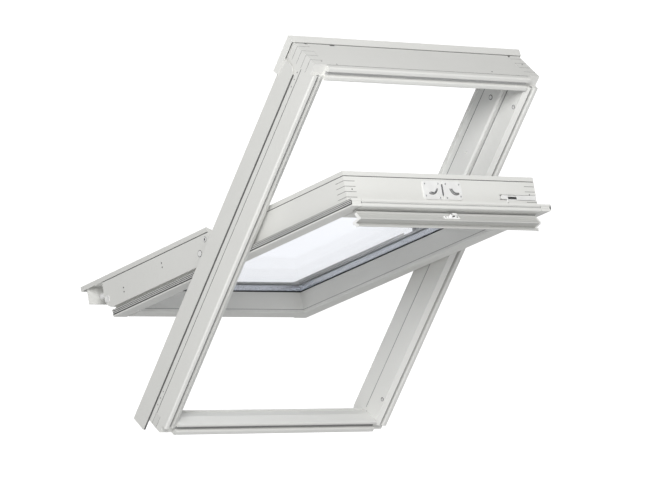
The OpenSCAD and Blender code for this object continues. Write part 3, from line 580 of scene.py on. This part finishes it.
def hip(bm, inner, outer):
    """Corner of two sloping sheets, mitred from its low inner point."""
    (x0, y0, z0), (x1, y1, z1) = inner, outer
    points = ((x0, y0, z0), (x1, y1, z0), (x1, y1, z1), (x0, y1, z1))
    low, side, far, end = [bm.verts.new(point) for point in points]
    faces = [bm.faces.new((low, side, far)), bm.faces.new((low, far, end))]
    thicken(bm, faces, (0, -SLOPE_T, 0))


def slope_section(inner, outer, high, foot):
    """Section of a sheet that slopes up from the glass and folds down at its outer edge."""
    back = FOLD if outer < inner else -FOLD
    rise = (high - EDGE_Y - SLOPE_T) / (outer - inner)
    return ((inner, EDGE_Y), (inner, EDGE_Y + SLOPE_T), (outer, high), (outer, foot),
            (outer + back, foot), (outer + back, high - SLOPE_T + back * rise))


class ROOFWINDOW_OT_slopes(bpy.types.Operator):
    """Cladding of the sash, sloping up from the glass to its outer edges"""

    bl_idname = "roofwindow.slopes"
    bl_label = "Sloping cladding"

    def execute(self, context):
        lacquer = lacquered_sheet("sash_lacquer", context.scene.roofwindow_finish.lacquer)
        edge = EDGE_Y + SLOPE_T
        upper_fold_y = (SASH_Y, UPPER_Y - SLOPE_T)
        lower_fold_y = (STRIP_Y, LOWER_Y - SLOPE_T)
        upper = slope_section(EDGE_X, UPPER_X, UPPER_Y, SASH_Y)
        lower = slope_section(EDGE_X, LOWER_X, LOWER_Y, STRIP_Y)
        under = lower[-1]
        riser = ((EDGE_X, EDGE_Y), under, (under[0], STRIP_Y), (UPPER_X, STRIP_Y),
                 (UPPER_X, UPPER_Y))
        for side, hand in (("left", MIRROR), ("right", Matrix.Identity(4))):
            bm = bmesh.new()
            folded(bm, [(x, y, STEP_Z) for x, y in upper], (0, 0, EDGE_TOP_Z - STEP_Z))
            hip(bm, (EDGE_X, edge, EDGE_TOP_Z), (UPPER_X, UPPER_Y, UPPER_Z))
            block(bm, 1, (UPPER_X - FOLD, UPPER_X), upper_fold_y, (EDGE_TOP_Z, UPPER_Z))
            block(bm, 1, (EDGE_X, UPPER_X - FOLD), upper_fold_y, (UPPER_Z - FOLD, UPPER_Z))
            settle(bm, "slope_upper_" + side, "sash", "cladding", lacquer, ON_SASH @ hand,
                   "clad_upper_" + side)
            bm = bmesh.new()
            folded(bm, [(x, y, EDGE_LOW_Z) for x, y in lower], (0, 0, STEP_Z - EDGE_LOW_Z))
            folded(bm, [(x, y, STEP_Z - FOLD) for x, y in riser], (0, 0, FOLD))
            settle(bm, "slope_lower_" + side, "sash", "cladding", lacquer, ON_SASH @ hand,
                   "clad_lower_" + side)
        bm = bmesh.new()
        top = slope_section(EDGE_TOP_Z, UPPER_Z, UPPER_Y, SASH_Y)
        folded(bm, [(-EDGE_X, y, z) for z, y in top], (2 * EDGE_X, 0, 0))
        settle(bm, "slope_top", "sash", "cladding", lacquer, ON_SASH, "clad_top")
        bm = bmesh.new()
        foot = slope_section(EDGE_LOW_Z, FOOT_Z, LOWER_Y, STRIP_Y)
        folded(bm, [(-EDGE_X, y, z) for z, y in foot], (2 * EDGE_X, 0, 0))
        across(bm, APRON_X, APRON_Y, (APRON_Z, APRON_Z + FOLD))
        for side in (-1, 1):
            hip(bm, (side * EDGE_X, edge, EDGE_LOW_Z), (side * LOWER_X, LOWER_Y, FOOT_Z))
        pair(bm, (EDGE_X, LOWER_X), lower_fold_y, (FOOT_Z, FOOT_Z + FOLD))
        pair(bm, (LOWER_X - FOLD, LOWER_X), lower_fold_y, (FOOT_Z + FOLD, EDGE_LOW_Z))
        settle(bm, "slope_bottom", "sash", "cladding", lacquer, ON_SASH, "clad_bottom")
        return {"FINISHED"}


class ROOFWINDOW_OT_fittings(bpy.types.Operator):
    """Zinc plating and moulded plastic on the fittings"""

    bl_idname = "roofwindow.fittings"
    bl_label = "Fittings"

    def execute(self, context):
        finish = context.scene.roofwindow_finish
        give(STEEL, plated_steel("zinc_plating", finish.zinc))
        give(PLASTIC, moulded("white_plastic", finish.plastic, SATIN))
        return {"FINISHED"}


# Heights of the dark rims under caps and rings, which are painted shade
RIM_H, CAP_RIM_H = 0.25, 0.3

# Caps over the bead screws
BEAD_CAP_X, BEAD_CAP_Y, BEAD_CAP_Z = 334, 82.65, (699, 1057)
BEAD_CAP_R, BEAD_CAP_H, BEAD_CAP_EASE, BEAD_RIM_R = 5.4, 0.9, 0.4, 7.4

# Bushes of the cleaning bolt: a dark ring round each and a dark disc deep in its bore, both painted
# shade
BOLT_BUSH_Y, BOLT_BUSH_REACH = 3, 487.6
BUSH_RING_X, BUSH_RING_R, BUSH_RING_W = 349, 5.3, 1.4
BUSH_SHADE_X, BUSH_SHADE_R = 364.8, 4.4

# Screws of the hinges, along the slope from the pivot; a head is its radius and height
BRACKET_X, BRACKET_Y, BRACKET_SCREWS = 376, 116, (-33, 33)
BRACKET_HEAD = (4.2, 2.0)
ARM_X, ARM_Y, ARM_SCREWS = 333, 103, (-48, -26, 26, 48)
ARM_HEAD = (3.6, 0.8)

# Caps, ring bushes and paired screws of the side strips, with dark rims of painted shade under caps
# and rings
STRIP_X = 345
STRIP_CAP_Y, STRIP_CAP_Z, STRIP_CAP_R, STRIP_CAP_H, STRIP_CAP_EASE = 90, 471, 8.0, 1.2, 0.6
STRIP_CAP_RIM_R = 9.5
STRIP_RING_Y, STRIP_RING_Z, STRIP_RING_R, STRIP_RING_W, STRIP_RING_H = 121, 502, 5.2, 2.6, 1.6
STRIP_RING_RIM_R = 7.6
FOOT_CAP_Y, FOOT_CAP_Z, FOOT_CAP_R, FOOT_CAP_H, FOOT_CAP_EASE = 86, 28, 7.4, 0.6, 0.2
FOOT_CAP_RIM_R = 8.6
STRIP_SCREW_X = 344.2
STRIP_SCREWS = ((84, 109), (96, 109), (101, 297), (113, 297))
STRIP_HEAD = (2.9, 1.0)


class ROOFWINDOW_OT_screws(bpy.types.Operator):
    """Screw heads with their cross recesses, caps over the bead screws, and painted shade round the
    caps and in the bolt bushes
    """

    bl_idname = "roofwindow.screws"
    bl_label = "Screws"

    def execute(self, context):
        finish = context.scene.roofwindow_finish
        zinc = plated_steel("screw_zinc", finish.zinc)
        white = moulded("cap_plastic", finish.plastic, SATIN)
        dark = moulded("cap_shadow", finish.shadow, DULL)
        bm, under = bmesh.new(), bmesh.new()
        for side, turn in INWARD:
            for z in BEAD_CAP_Z:
                place = at(side * BEAD_CAP_X, BEAD_CAP_Y, z, turn)
                disc(bm, place, BEAD_CAP_R, BEAD_CAP_H, ease=BEAD_CAP_EASE)
                disc(under, place, BEAD_RIM_R, RIM_H)
        for z in around(PIVOT_Z, BOLT_BUSH_REACH):
            arc(under, at(BUSH_RING_X, BOLT_BUSH_Y, z, FACING_LEFT), BUSH_RING_R, BUSH_RING_W,
                RIM_H, 0, 360)
            disc(under, at(BUSH_SHADE_X, BOLT_BUSH_Y, z, FACING_LEFT), BUSH_SHADE_R, CAP_RIM_H)
        settle(bm, "bead_screw_caps", "frame", "plastic", white, ON_FRAME, "bead_screws")
        settle(under, "bead_screw_rim_shade", "frame", "rubber", dark, ON_FRAME)
        bm = bmesh.new()
        for side in (-1, 1):
            for z in BRACKET_SCREWS:
                place = at(side * BRACKET_X, BRACKET_Y, PIVOT_Z + z, FACING_OUT)
                cross_screw(bm, place, *BRACKET_HEAD)
        settle(bm, "bracket_screw_heads", "frame", "steel", zinc, ON_FRAME, "bracket_screws")
        bm = bmesh.new()
        for side, turn in OUTWARD:
            for z in ARM_SCREWS:
                cross_screw(bm, at(side * ARM_X, ARM_Y, PIVOT_Z + z, turn), *ARM_HEAD)
        settle(bm, "arm_screw_heads", "sash", "steel", zinc, ON_SASH, "arm_screws")
        self.on_strips(finish, white, dark)
        return {"FINISHED"}

    def on_strips(self, finish, white, dark):
        caps, heads, under = bmesh.new(), bmesh.new(), bmesh.new()
        for side, turn in OUTWARD:
            place = at(side * STRIP_X, STRIP_CAP_Y, STRIP_CAP_Z, turn)
            disc(caps, place, STRIP_CAP_R, STRIP_CAP_H, 32, STRIP_CAP_EASE)
            disc(under, place, STRIP_CAP_RIM_R, CAP_RIM_H, 32)
            place = at(side * STRIP_X, STRIP_RING_Y, STRIP_RING_Z, turn)
            arc(caps, place, STRIP_RING_R, STRIP_RING_W, STRIP_RING_H, 0, 360)
            disc(under, place, STRIP_RING_RIM_R, CAP_RIM_H)
            place = at(side * STRIP_X, FOOT_CAP_Y, FOOT_CAP_Z, turn)
            disc(caps, place, FOOT_CAP_R, FOOT_CAP_H, ease=FOOT_CAP_EASE)
            disc(under, place, FOOT_CAP_RIM_R, CAP_RIM_H)
            for y, z in STRIP_SCREWS:
                cross_screw(heads, at(side * STRIP_SCREW_X, y, z, turn), *STRIP_HEAD)
        settle(caps, "strip_caps", "sash", "plastic", white, ON_SASH)
        # Zinc darkened on the strip screws: painted shade of their recesses
        dull = plated_steel("strip_screw_shaded_zinc", shade(finish.zinc, STRIP_SCREW_SHADE_TONE))
        settle(heads, "strip_screw_heads", "sash", "steel", dull, ON_SASH, "strip_screws")
        settle(under, "strip_cap_rim_shade", "sash", "rubber", dark, ON_SASH)


# Lock plates on the end face of the top rail: each side with its arc's middle and start angle
LOCK_X, LOCK_Y, LOCK_Z = (2.2, 67), (64, 116), (1096, 1098.4)
LOCK_CORNER, LOCK_RIM, LOCK_SQUARE_X = 9.0, 0.8, 10
LOCK_SIDES = ((-1, -37, 235), (1, 45, 188))
LOCK_ARC_Y, LOCK_ARC_STEPS = 98, 20
# The slots are thin dark arcs of painted shadow beside the arms
SLOT_Z, SLOT_R, SLOT_W, SLOT_H, SLOT_SWEEP = 1098.3, 19.4, 3.4, 0.4, 117
LOCK_ARM_R, LOCK_ARM_W, LOCK_ARM_H, LOCK_ARM_START, LOCK_ARM_SWEEP = 16.0, 2.2, 4.0, 6, 100
LOCK_SCREWS = ((12, 69), (60, 74), (59, 107), (13, 108))
LOCK_HEAD = (2.6, 0.8)


class ROOFWINDOW_OT_lock(bpy.types.Operator):
    """Lock plates on the top rail with their curved arms, screws and dark arcs of painted shadow
    beside the arms
    """

    bl_idname = "roofwindow.lock"
    bl_label = "Lock"

    def execute(self, context):
        finish = context.scene.roofwindow_finish
        white = moulded("lock_plastic", finish.plastic, SATIN)
        dark = moulded("lock_shadow", shade(finish.shadow, LOCK_SLOT_SHADE_TONE), DULL)
        zinc = plated_steel("lock_zinc", finish.zinc)
        plates, slot_shades, arms = bmesh.new(), bmesh.new(), bmesh.new()
        for side, middle, start in LOCK_SIDES:
            x0, x1 = sorted((side * LOCK_X[0], side * LOCK_X[1]))
            rounded_plate(plates, (x0, LOCK_Y[0], LOCK_Z[0]), (x1, LOCK_Y[1], LOCK_Z[1]),
                          LOCK_CORNER, LOCK_RIM, lambda x: abs(x) > LOCK_SQUARE_X)
            arc(slot_shades, at(middle, LOCK_ARC_Y, SLOT_Z), SLOT_R, SLOT_W, SLOT_H, start, SLOT_SWEEP,
                LOCK_ARC_STEPS)
            arc(arms, at(middle, LOCK_ARC_Y, LOCK_Z[1]), LOCK_ARM_R, LOCK_ARM_W, LOCK_ARM_H,
                start + LOCK_ARM_START, LOCK_ARM_SWEEP, LOCK_ARC_STEPS)
            for x, y in LOCK_SCREWS:
                cross_screw(arms, at(side * x, y, SLOT_Z), *LOCK_HEAD)
        settle(plates, "lock_plates", "sash", "plastic", white, ON_SASH, "lock_case")
        settle(slot_shades, "lock_slot_shades", "sash", "rubber", dark, ON_SASH)
        settle(arms, "lock_arms", "sash", "steel", zinc, ON_SASH)
        return {"FINISHED"}


# Cleaning bolt on the end face of the top rail: corners of its blocks
BOLT_END, BOLT_R, BOLT_LENGTH, BOLT_EASE = (208, 76.5, 1091.5), 3.0, 121, 0.8
THUMB = ((203, 70.5, 1092.4), (227, 82.5, 1098))
THUMB_CORNER, THUMB_RIM, THUMB_ROUND_X = 5.0, 0.7, 210
THUMB_TAIL, THUMB_TAIL_EASE = ((222.2, 62, 1096.4), (226.8, 73, 1097.9)), 0.6
BOLT_COVER, BOLT_COVER_EASE = ((259, 69.9, 1095.3), (329, 83.1, 1096.5)), 0.4
BOLT_LEDGES = (((227.5, 69.3, 1083.2), (329, 73.1, 1092.0)),
               ((227.5, 79.9, 1083.2), (329, 83.7, 1092.0)))
TAIL_PLACE, TAIL_R, TAIL_W, TAIL_START, TAIL_SWEEP = (227.3, 64, 1096.02), 2.6, 1.4, 180, 130
TAIL_STEPS = 10


class ROOFWINDOW_OT_bolt(bpy.types.Operator):
    """Cleaning bolt with its thumb piece, and the plate over its guides"""

    bl_idname = "roofwindow.bolt"
    bl_label = "Bolt"

    def execute(self, context):
        finish = context.scene.roofwindow_finish
        white = moulded("bolt_plastic", finish.plastic, SATIN)
        dark = moulded("bolt_shadow", finish.shadow, DULL)
        dull = plated_steel("bolt_zinc", shade(finish.zinc, BOLT_TONE))
        bm = bmesh.new()
        disc(bm, at(*BOLT_END, FACING_RIGHT), BOLT_R, BOLT_LENGTH, ease=BOLT_EASE)
        settle(bm, "bolt_rod", "barrel_bolt", "steel", dull, ON_SASH, "barrel_bolt")
        bm = bmesh.new()
        rounded_plate(bm, *THUMB, THUMB_CORNER, THUMB_RIM, lambda x: x < THUMB_ROUND_X)
        slab(bm, *THUMB_TAIL, THUMB_TAIL_EASE)
        settle(bm, "bolt_thumb", "barrel_bolt", "plastic", white, ON_SASH)
        bm = bmesh.new()
        slab(bm, *BOLT_COVER, BOLT_COVER_EASE)
        for ledge in BOLT_LEDGES:
            slab(bm, *ledge)
        settle(bm, "bolt_plate", "sash", "plastic", white, ON_SASH, "bolt_guides")
        bm = bmesh.new()
        # Dark arc by the thumb's tail: painted shade
        arc(bm, at(*TAIL_PLACE), TAIL_R, TAIL_W, RIM_H, TAIL_START, TAIL_SWEEP, TAIL_STEPS)
        settle(bm, "bolt_tail_line", "sash", "rubber", dark, ON_SASH)
        return {"FINISHED"}


# Catch of the control bar, in axes on the bar's upper leg: x along the bar, z off the leg
CATCH_PLACE = (0, 18.5, 1100)
BAR_LEG_Y, BAR_LEG_Z = -15.4, 11.0
CATCH_PLATE, CATCH_PLATE_EASE = ((-19, -15, 1.5), (33, -4, 4.4)), 0.8
CATCH_LOOP = (((0, -13, 4.2), (4, -5, 15)), ((15, -13, 4.2), (19, -5, 15)),
              ((0, -13, 12), (19, -5, 15)))
CATCH_LOOP_EASE = 0.6
# Dark strip under the loop and dark discs for the eyes: painted shade
CATCH_LOOP_SHADOW = ((4, -9.5, 4.3), (15, -8.5, 11.9))
CATCH_EYES = ((-14.5, 2.4), (-6, 1.6), (26, 1.8))
CATCH_EYE_Y, CATCH_EYE_Z, CATCH_EYE_H = -9.5, 4.4, 0.15


class ROOFWINDOW_OT_catch(bpy.types.Operator):
    """Catch of the control bar: a plate and a standing loop, with painted shade in its eyes and
    under the loop
    """

    bl_idname = "roofwindow.catch"
    bl_label = "Catch"

    def execute(self, context):
        finish = context.scene.roofwindow_finish
        white = moulded("catch_plastic", shade(finish.plastic, CATCH_TONE), SATIN)
        dark = moulded("catch_shadow", finish.shadow, DULL)
        lean = math.atan2(BAR_LEG_Z, BAR_LEG_Y) + math.pi
        on_leg = ON_SASH @ Matrix.Translation(CATCH_PLACE) @ Matrix.Rotation(lean, 4, "X")
        bm, under = bmesh.new(), bmesh.new()
        slab(bm, *CATCH_PLATE, CATCH_PLATE_EASE)
        for bar in CATCH_LOOP:
            slab(bm, *bar, CATCH_LOOP_EASE)
        for x, radius in CATCH_EYES:
            disc(under, at(x, CATCH_EYE_Y, CATCH_EYE_Z), radius, CATCH_EYE_H, 16)
        slab(under, *CATCH_LOOP_SHADOW)
        settle(bm, "bar_catch_plate", "control_bar", "plastic", white, on_leg, "bar_catch")
        settle(under, "bar_catch_eye_shades", "control_bar", "rubber", dark, on_leg)
        return {"FINISHED"}


# Ribbed seal in the sash lip: its web a darker copy of the seal colour as painted shade, its ribs a
# lighter one as painted highlight
SEAL_Z = (44, 1129)
SEAL_WEB = ((343, 344.8), (34.25, 46.25), SEAL_Z)
SEAL_BACK = ((344.6, 345.3), (36.2, 49.9), SEAL_Z)
SEAL_RIB_X, SEAL_RIB_Y, SEAL_RIB_HALF, SEAL_RIB_EASE = (345.0, 346.4), (38.6, 43.0, 47.4), 1.1, 0.5


class ROOFWINDOW_OT_glazing(bpy.types.Operator):
    """Panes, spacer bar, gaskets and seals"""

    bl_idname = "roofwindow.glazing"
    bl_label = "Glazing"

    def execute(self, context):
        finish = context.scene.roofwindow_finish
        give(PANES, clear_pane("pane_glass", finish.glass))
        give(["glazing_gasket_inner"], moulded("gasket_rubber", finish.rubber, SOFT))
        give(PALE_GASKETS, moulded("pale_gasket", finish.gasket, SOFT))
        give(SEALS, moulded("seal_rubber", finish.seal, SOFT))
        give(["spacer"], plated_steel("spacer_metal", finish.spacer))
        # Darker web and lighter ribs of the same rubber: painted shade and highlight
        web = moulded("seal_web_shaded_rubber", shade(finish.seal, SEAL_WEB_SHADE_TONE), DULL)
        rib = moulded("seal_rib_lit_rubber", shade(finish.seal, SEAL_RIB_HIGHLIGHT_TONE), SOFT)
        for side, s in (("right", 1), ("left", -1)):
            bm = bmesh.new()
            block(bm, s, *SEAL_WEB)
            block(bm, s, *SEAL_BACK)
            settle(bm, "seal_web_" + side, "sash", "rubber", web, ON_SASH, "sash_seal_" + side)
            bm = bmesh.new()
            for y in SEAL_RIB_Y:
                block(bm, s, SEAL_RIB_X, around(y, SEAL_RIB_HALF), SEAL_Z, SEAL_RIB_EASE)
            settle(bm, "seal_ribs_" + side, "sash", "rubber", rib, ON_SASH)
        return {"FINISHED"}


# Stage, in metres
FLOOR_HALF, FLOOR_Z = 14.0, -0.9
FLOOR_TONES = (0.73, 0.75)
FLOOR_GLOW, FLOOR_GLOW_SEEN = 0.12, 0.7
GLOW_COLOUR = (0.95, 0.97, 1, 1)
BACKDROP = 1.15
LIT_POINT = (0, -0.33784, 0.48251)
LAMP_SIZE = 3.0
KEY_PLACE = (-4.4, -5.7, 2.7)
TOP_PLACE, TOP_SHARE = (0.6, 0.2, 4.2), 0.02
VIEW_AHEAD = (0.6256, 0.7798, 0.0256)
VIEW_TARGET = (-0.05196, -0.29711, 0.51142)
SENSOR_WIDTH, CLIP_END = 36.0, 200.0


def seen_directly(tree):
    """One for what the camera sees, straight or through the glass, and otherwise zero."""
    path = tree.nodes.new("ShaderNodeLightPath")
    seen = tree.nodes.new("ShaderNodeMath")
    seen.operation = "MAXIMUM"
    tree.links.new(path.outputs["Is Camera Ray"], seen.inputs[0])
    tree.links.new(path.outputs["Is Transmission Ray"], seen.inputs[1])
    return seen.outputs["Value"]


def white_floor(scene):
    mesh = bpy.data.meshes.new("floor")
    bm = bmesh.new()
    bmesh.ops.create_grid(bm, x_segments=1, y_segments=1, size=FLOOR_HALF)
    bmesh.ops.translate(bm, verts=bm.verts, vec=(0, 0, FLOOR_Z))
    bm.to_mesh(mesh)
    bm.free()
    floor = bpy.data.objects.new("floor", mesh)
    scene.collection.objects.link(floor)
    mat, tree, shader = new_material("floor_white")
    cloud = object_noise(tree, scale=0.5)
    ramp(tree, cloud, grey(FLOOR_TONES[0]), grey(FLOOR_TONES[1]), shader.inputs["Base Color"])
    shader.inputs["Roughness"].default_value = 0.9
    shader.inputs["Emission Color"].default_value = GLOW_COLOUR
    glow = tree.nodes.new("ShaderNodeMath")
    glow.operation = "MULTIPLY_ADD"
    glow.inputs[1].default_value = FLOOR_GLOW_SEEN
    glow.inputs[2].default_value = FLOOR_GLOW
    tree.links.new(seen_directly(tree), glow.inputs[0])
    tree.links.new(glow.outputs["Value"], shader.inputs["Emission Strength"])
    mesh.materials.append(mat)


def white_room(scene, sky_strength):
    """Even light all round, and a white backdrop for what the camera sees directly."""
    world = bpy.data.worlds.new("studio")
    scene.world = world
    world.use_nodes = True
    tree = world.node_tree
    sky = tree.nodes["Background"]
    sky.inputs["Color"].default_value = grey(1)
    sky.inputs["Strength"].default_value = sky_strength
    white = tree.nodes.new("ShaderNodeBackground")
    white.inputs["Color"].default_value = grey(1)
    white.inputs["Strength"].default_value = BACKDROP
    mix = tree.nodes.new("ShaderNodeMixShader")
    tree.links.new(seen_directly(tree), mix.inputs["Fac"])
    tree.links.new(sky.outputs["Background"], mix.inputs[1])
    tree.links.new(white.outputs["Background"], mix.inputs[2])
    tree.links.new(mix.outputs["Shader"], tree.nodes["World Output"].inputs["Surface"])


def lamp(scene, name, place, power):
    """Round area light that looks at the window."""
    data = bpy.data.lights.new(name, "AREA")
    data.shape = "DISK"
    data.size = LAMP_SIZE
    data.energy = power
    light = bpy.data.objects.new(name, data)
    light.location = place
    light.rotation_mode = "QUATERNION"
    light.rotation_quaternion = (Vector(LIT_POINT) - Vector(place)).to_track_quat("-Z", "Y")
    scene.collection.objects.link(light)


class ROOFWINDOW_OT_stage(bpy.types.Operator):
    """Floor, lights and camera"""

    bl_idname = "roofwindow.stage"
    bl_label = "Stage"

    def execute(self, context):
        scene = context.scene
        stage = scene.roofwindow_stage
        scene.view_settings.view_transform = "Standard"
        white_floor(scene)
        white_room(scene, stage.sky)
        lamp(scene, "key", KEY_PLACE, stage.key_power)
        lamp(scene, "top", TOP_PLACE, stage.key_power * TOP_SHARE)
        data = bpy.data.cameras.new("camera")
        data.sensor_width = SENSOR_WIDTH
        data.lens = stage.lens
        data.clip_end = CLIP_END
        cam = bpy.data.objects.new("camera", data)
        ahead = Vector(VIEW_AHEAD).normalized()
        cam.location = Vector(VIEW_TARGET) - ahead * stage.distance
        cam.rotation_mode = "QUATERNION"
        cam.rotation_quaternion = ahead.to_track_quat("-Z", "Y")
        scene.collection.objects.link(cam)
        scene.camera = cam
        return {"FINISHED"}


class ROOFWINDOW_PT_panel(bpy.types.Panel):
    """A button for each group of pieces and for the stage"""

    bl_idname = "ROOFWINDOW_PT_panel"
    bl_label = "Roof Window"
    bl_space_type = "VIEW_3D"
    bl_region_type = "UI"
    bl_category = "Roof Window"

    def draw(self, context):
        col = self.layout.column(align=True)
        for op in OPERATORS:
            col.operator(op.bl_idname)


OPERATORS = [ROOFWINDOW_OT_timber, ROOFWINDOW_OT_joints, ROOFWINDOW_OT_cladding,
             ROOFWINDOW_OT_slopes, ROOFWINDOW_OT_fittings, ROOFWINDOW_OT_screws,
             ROOFWINDOW_OT_lock, ROOFWINDOW_OT_bolt, ROOFWINDOW_OT_catch,
             ROOFWINDOW_OT_glazing, ROOFWINDOW_OT_stage]
CLASSES = [RoofWindowFinish, RoofWindowStage, *OPERATORS, ROOFWINDOW_PT_panel]


def register():
    for cls in CLASSES:
        bpy.utils.register_class(cls)
    bpy.types.Scene.roofwindow_finish = bpy.props.PointerProperty(type=RoofWindowFinish)
    bpy.types.Scene.roofwindow_stage = bpy.props.PointerProperty(type=RoofWindowStage)


def unregister():
    del bpy.types.Scene.roofwindow_stage
    del bpy.types.Scene.roofwindow_finish
    for cls in reversed(CLASSES):
        bpy.utils.unregister_class(cls)


def main():
    register()
    bpy.ops.roofwindow.timber()
    bpy.ops.roofwindow.joints()
    bpy.ops.roofwindow.cladding()
    bpy.ops.roofwindow.slopes()
    bpy.ops.roofwindow.fittings()
    bpy.ops.roofwindow.screws()
    bpy.ops.roofwindow.lock()
    bpy.ops.roofwindow.bolt()
    bpy.ops.roofwindow.catch()
    bpy.ops.roofwindow.glazing()
    bpy.ops.roofwindow.stage()


if __name__ == "__main__":
    main()
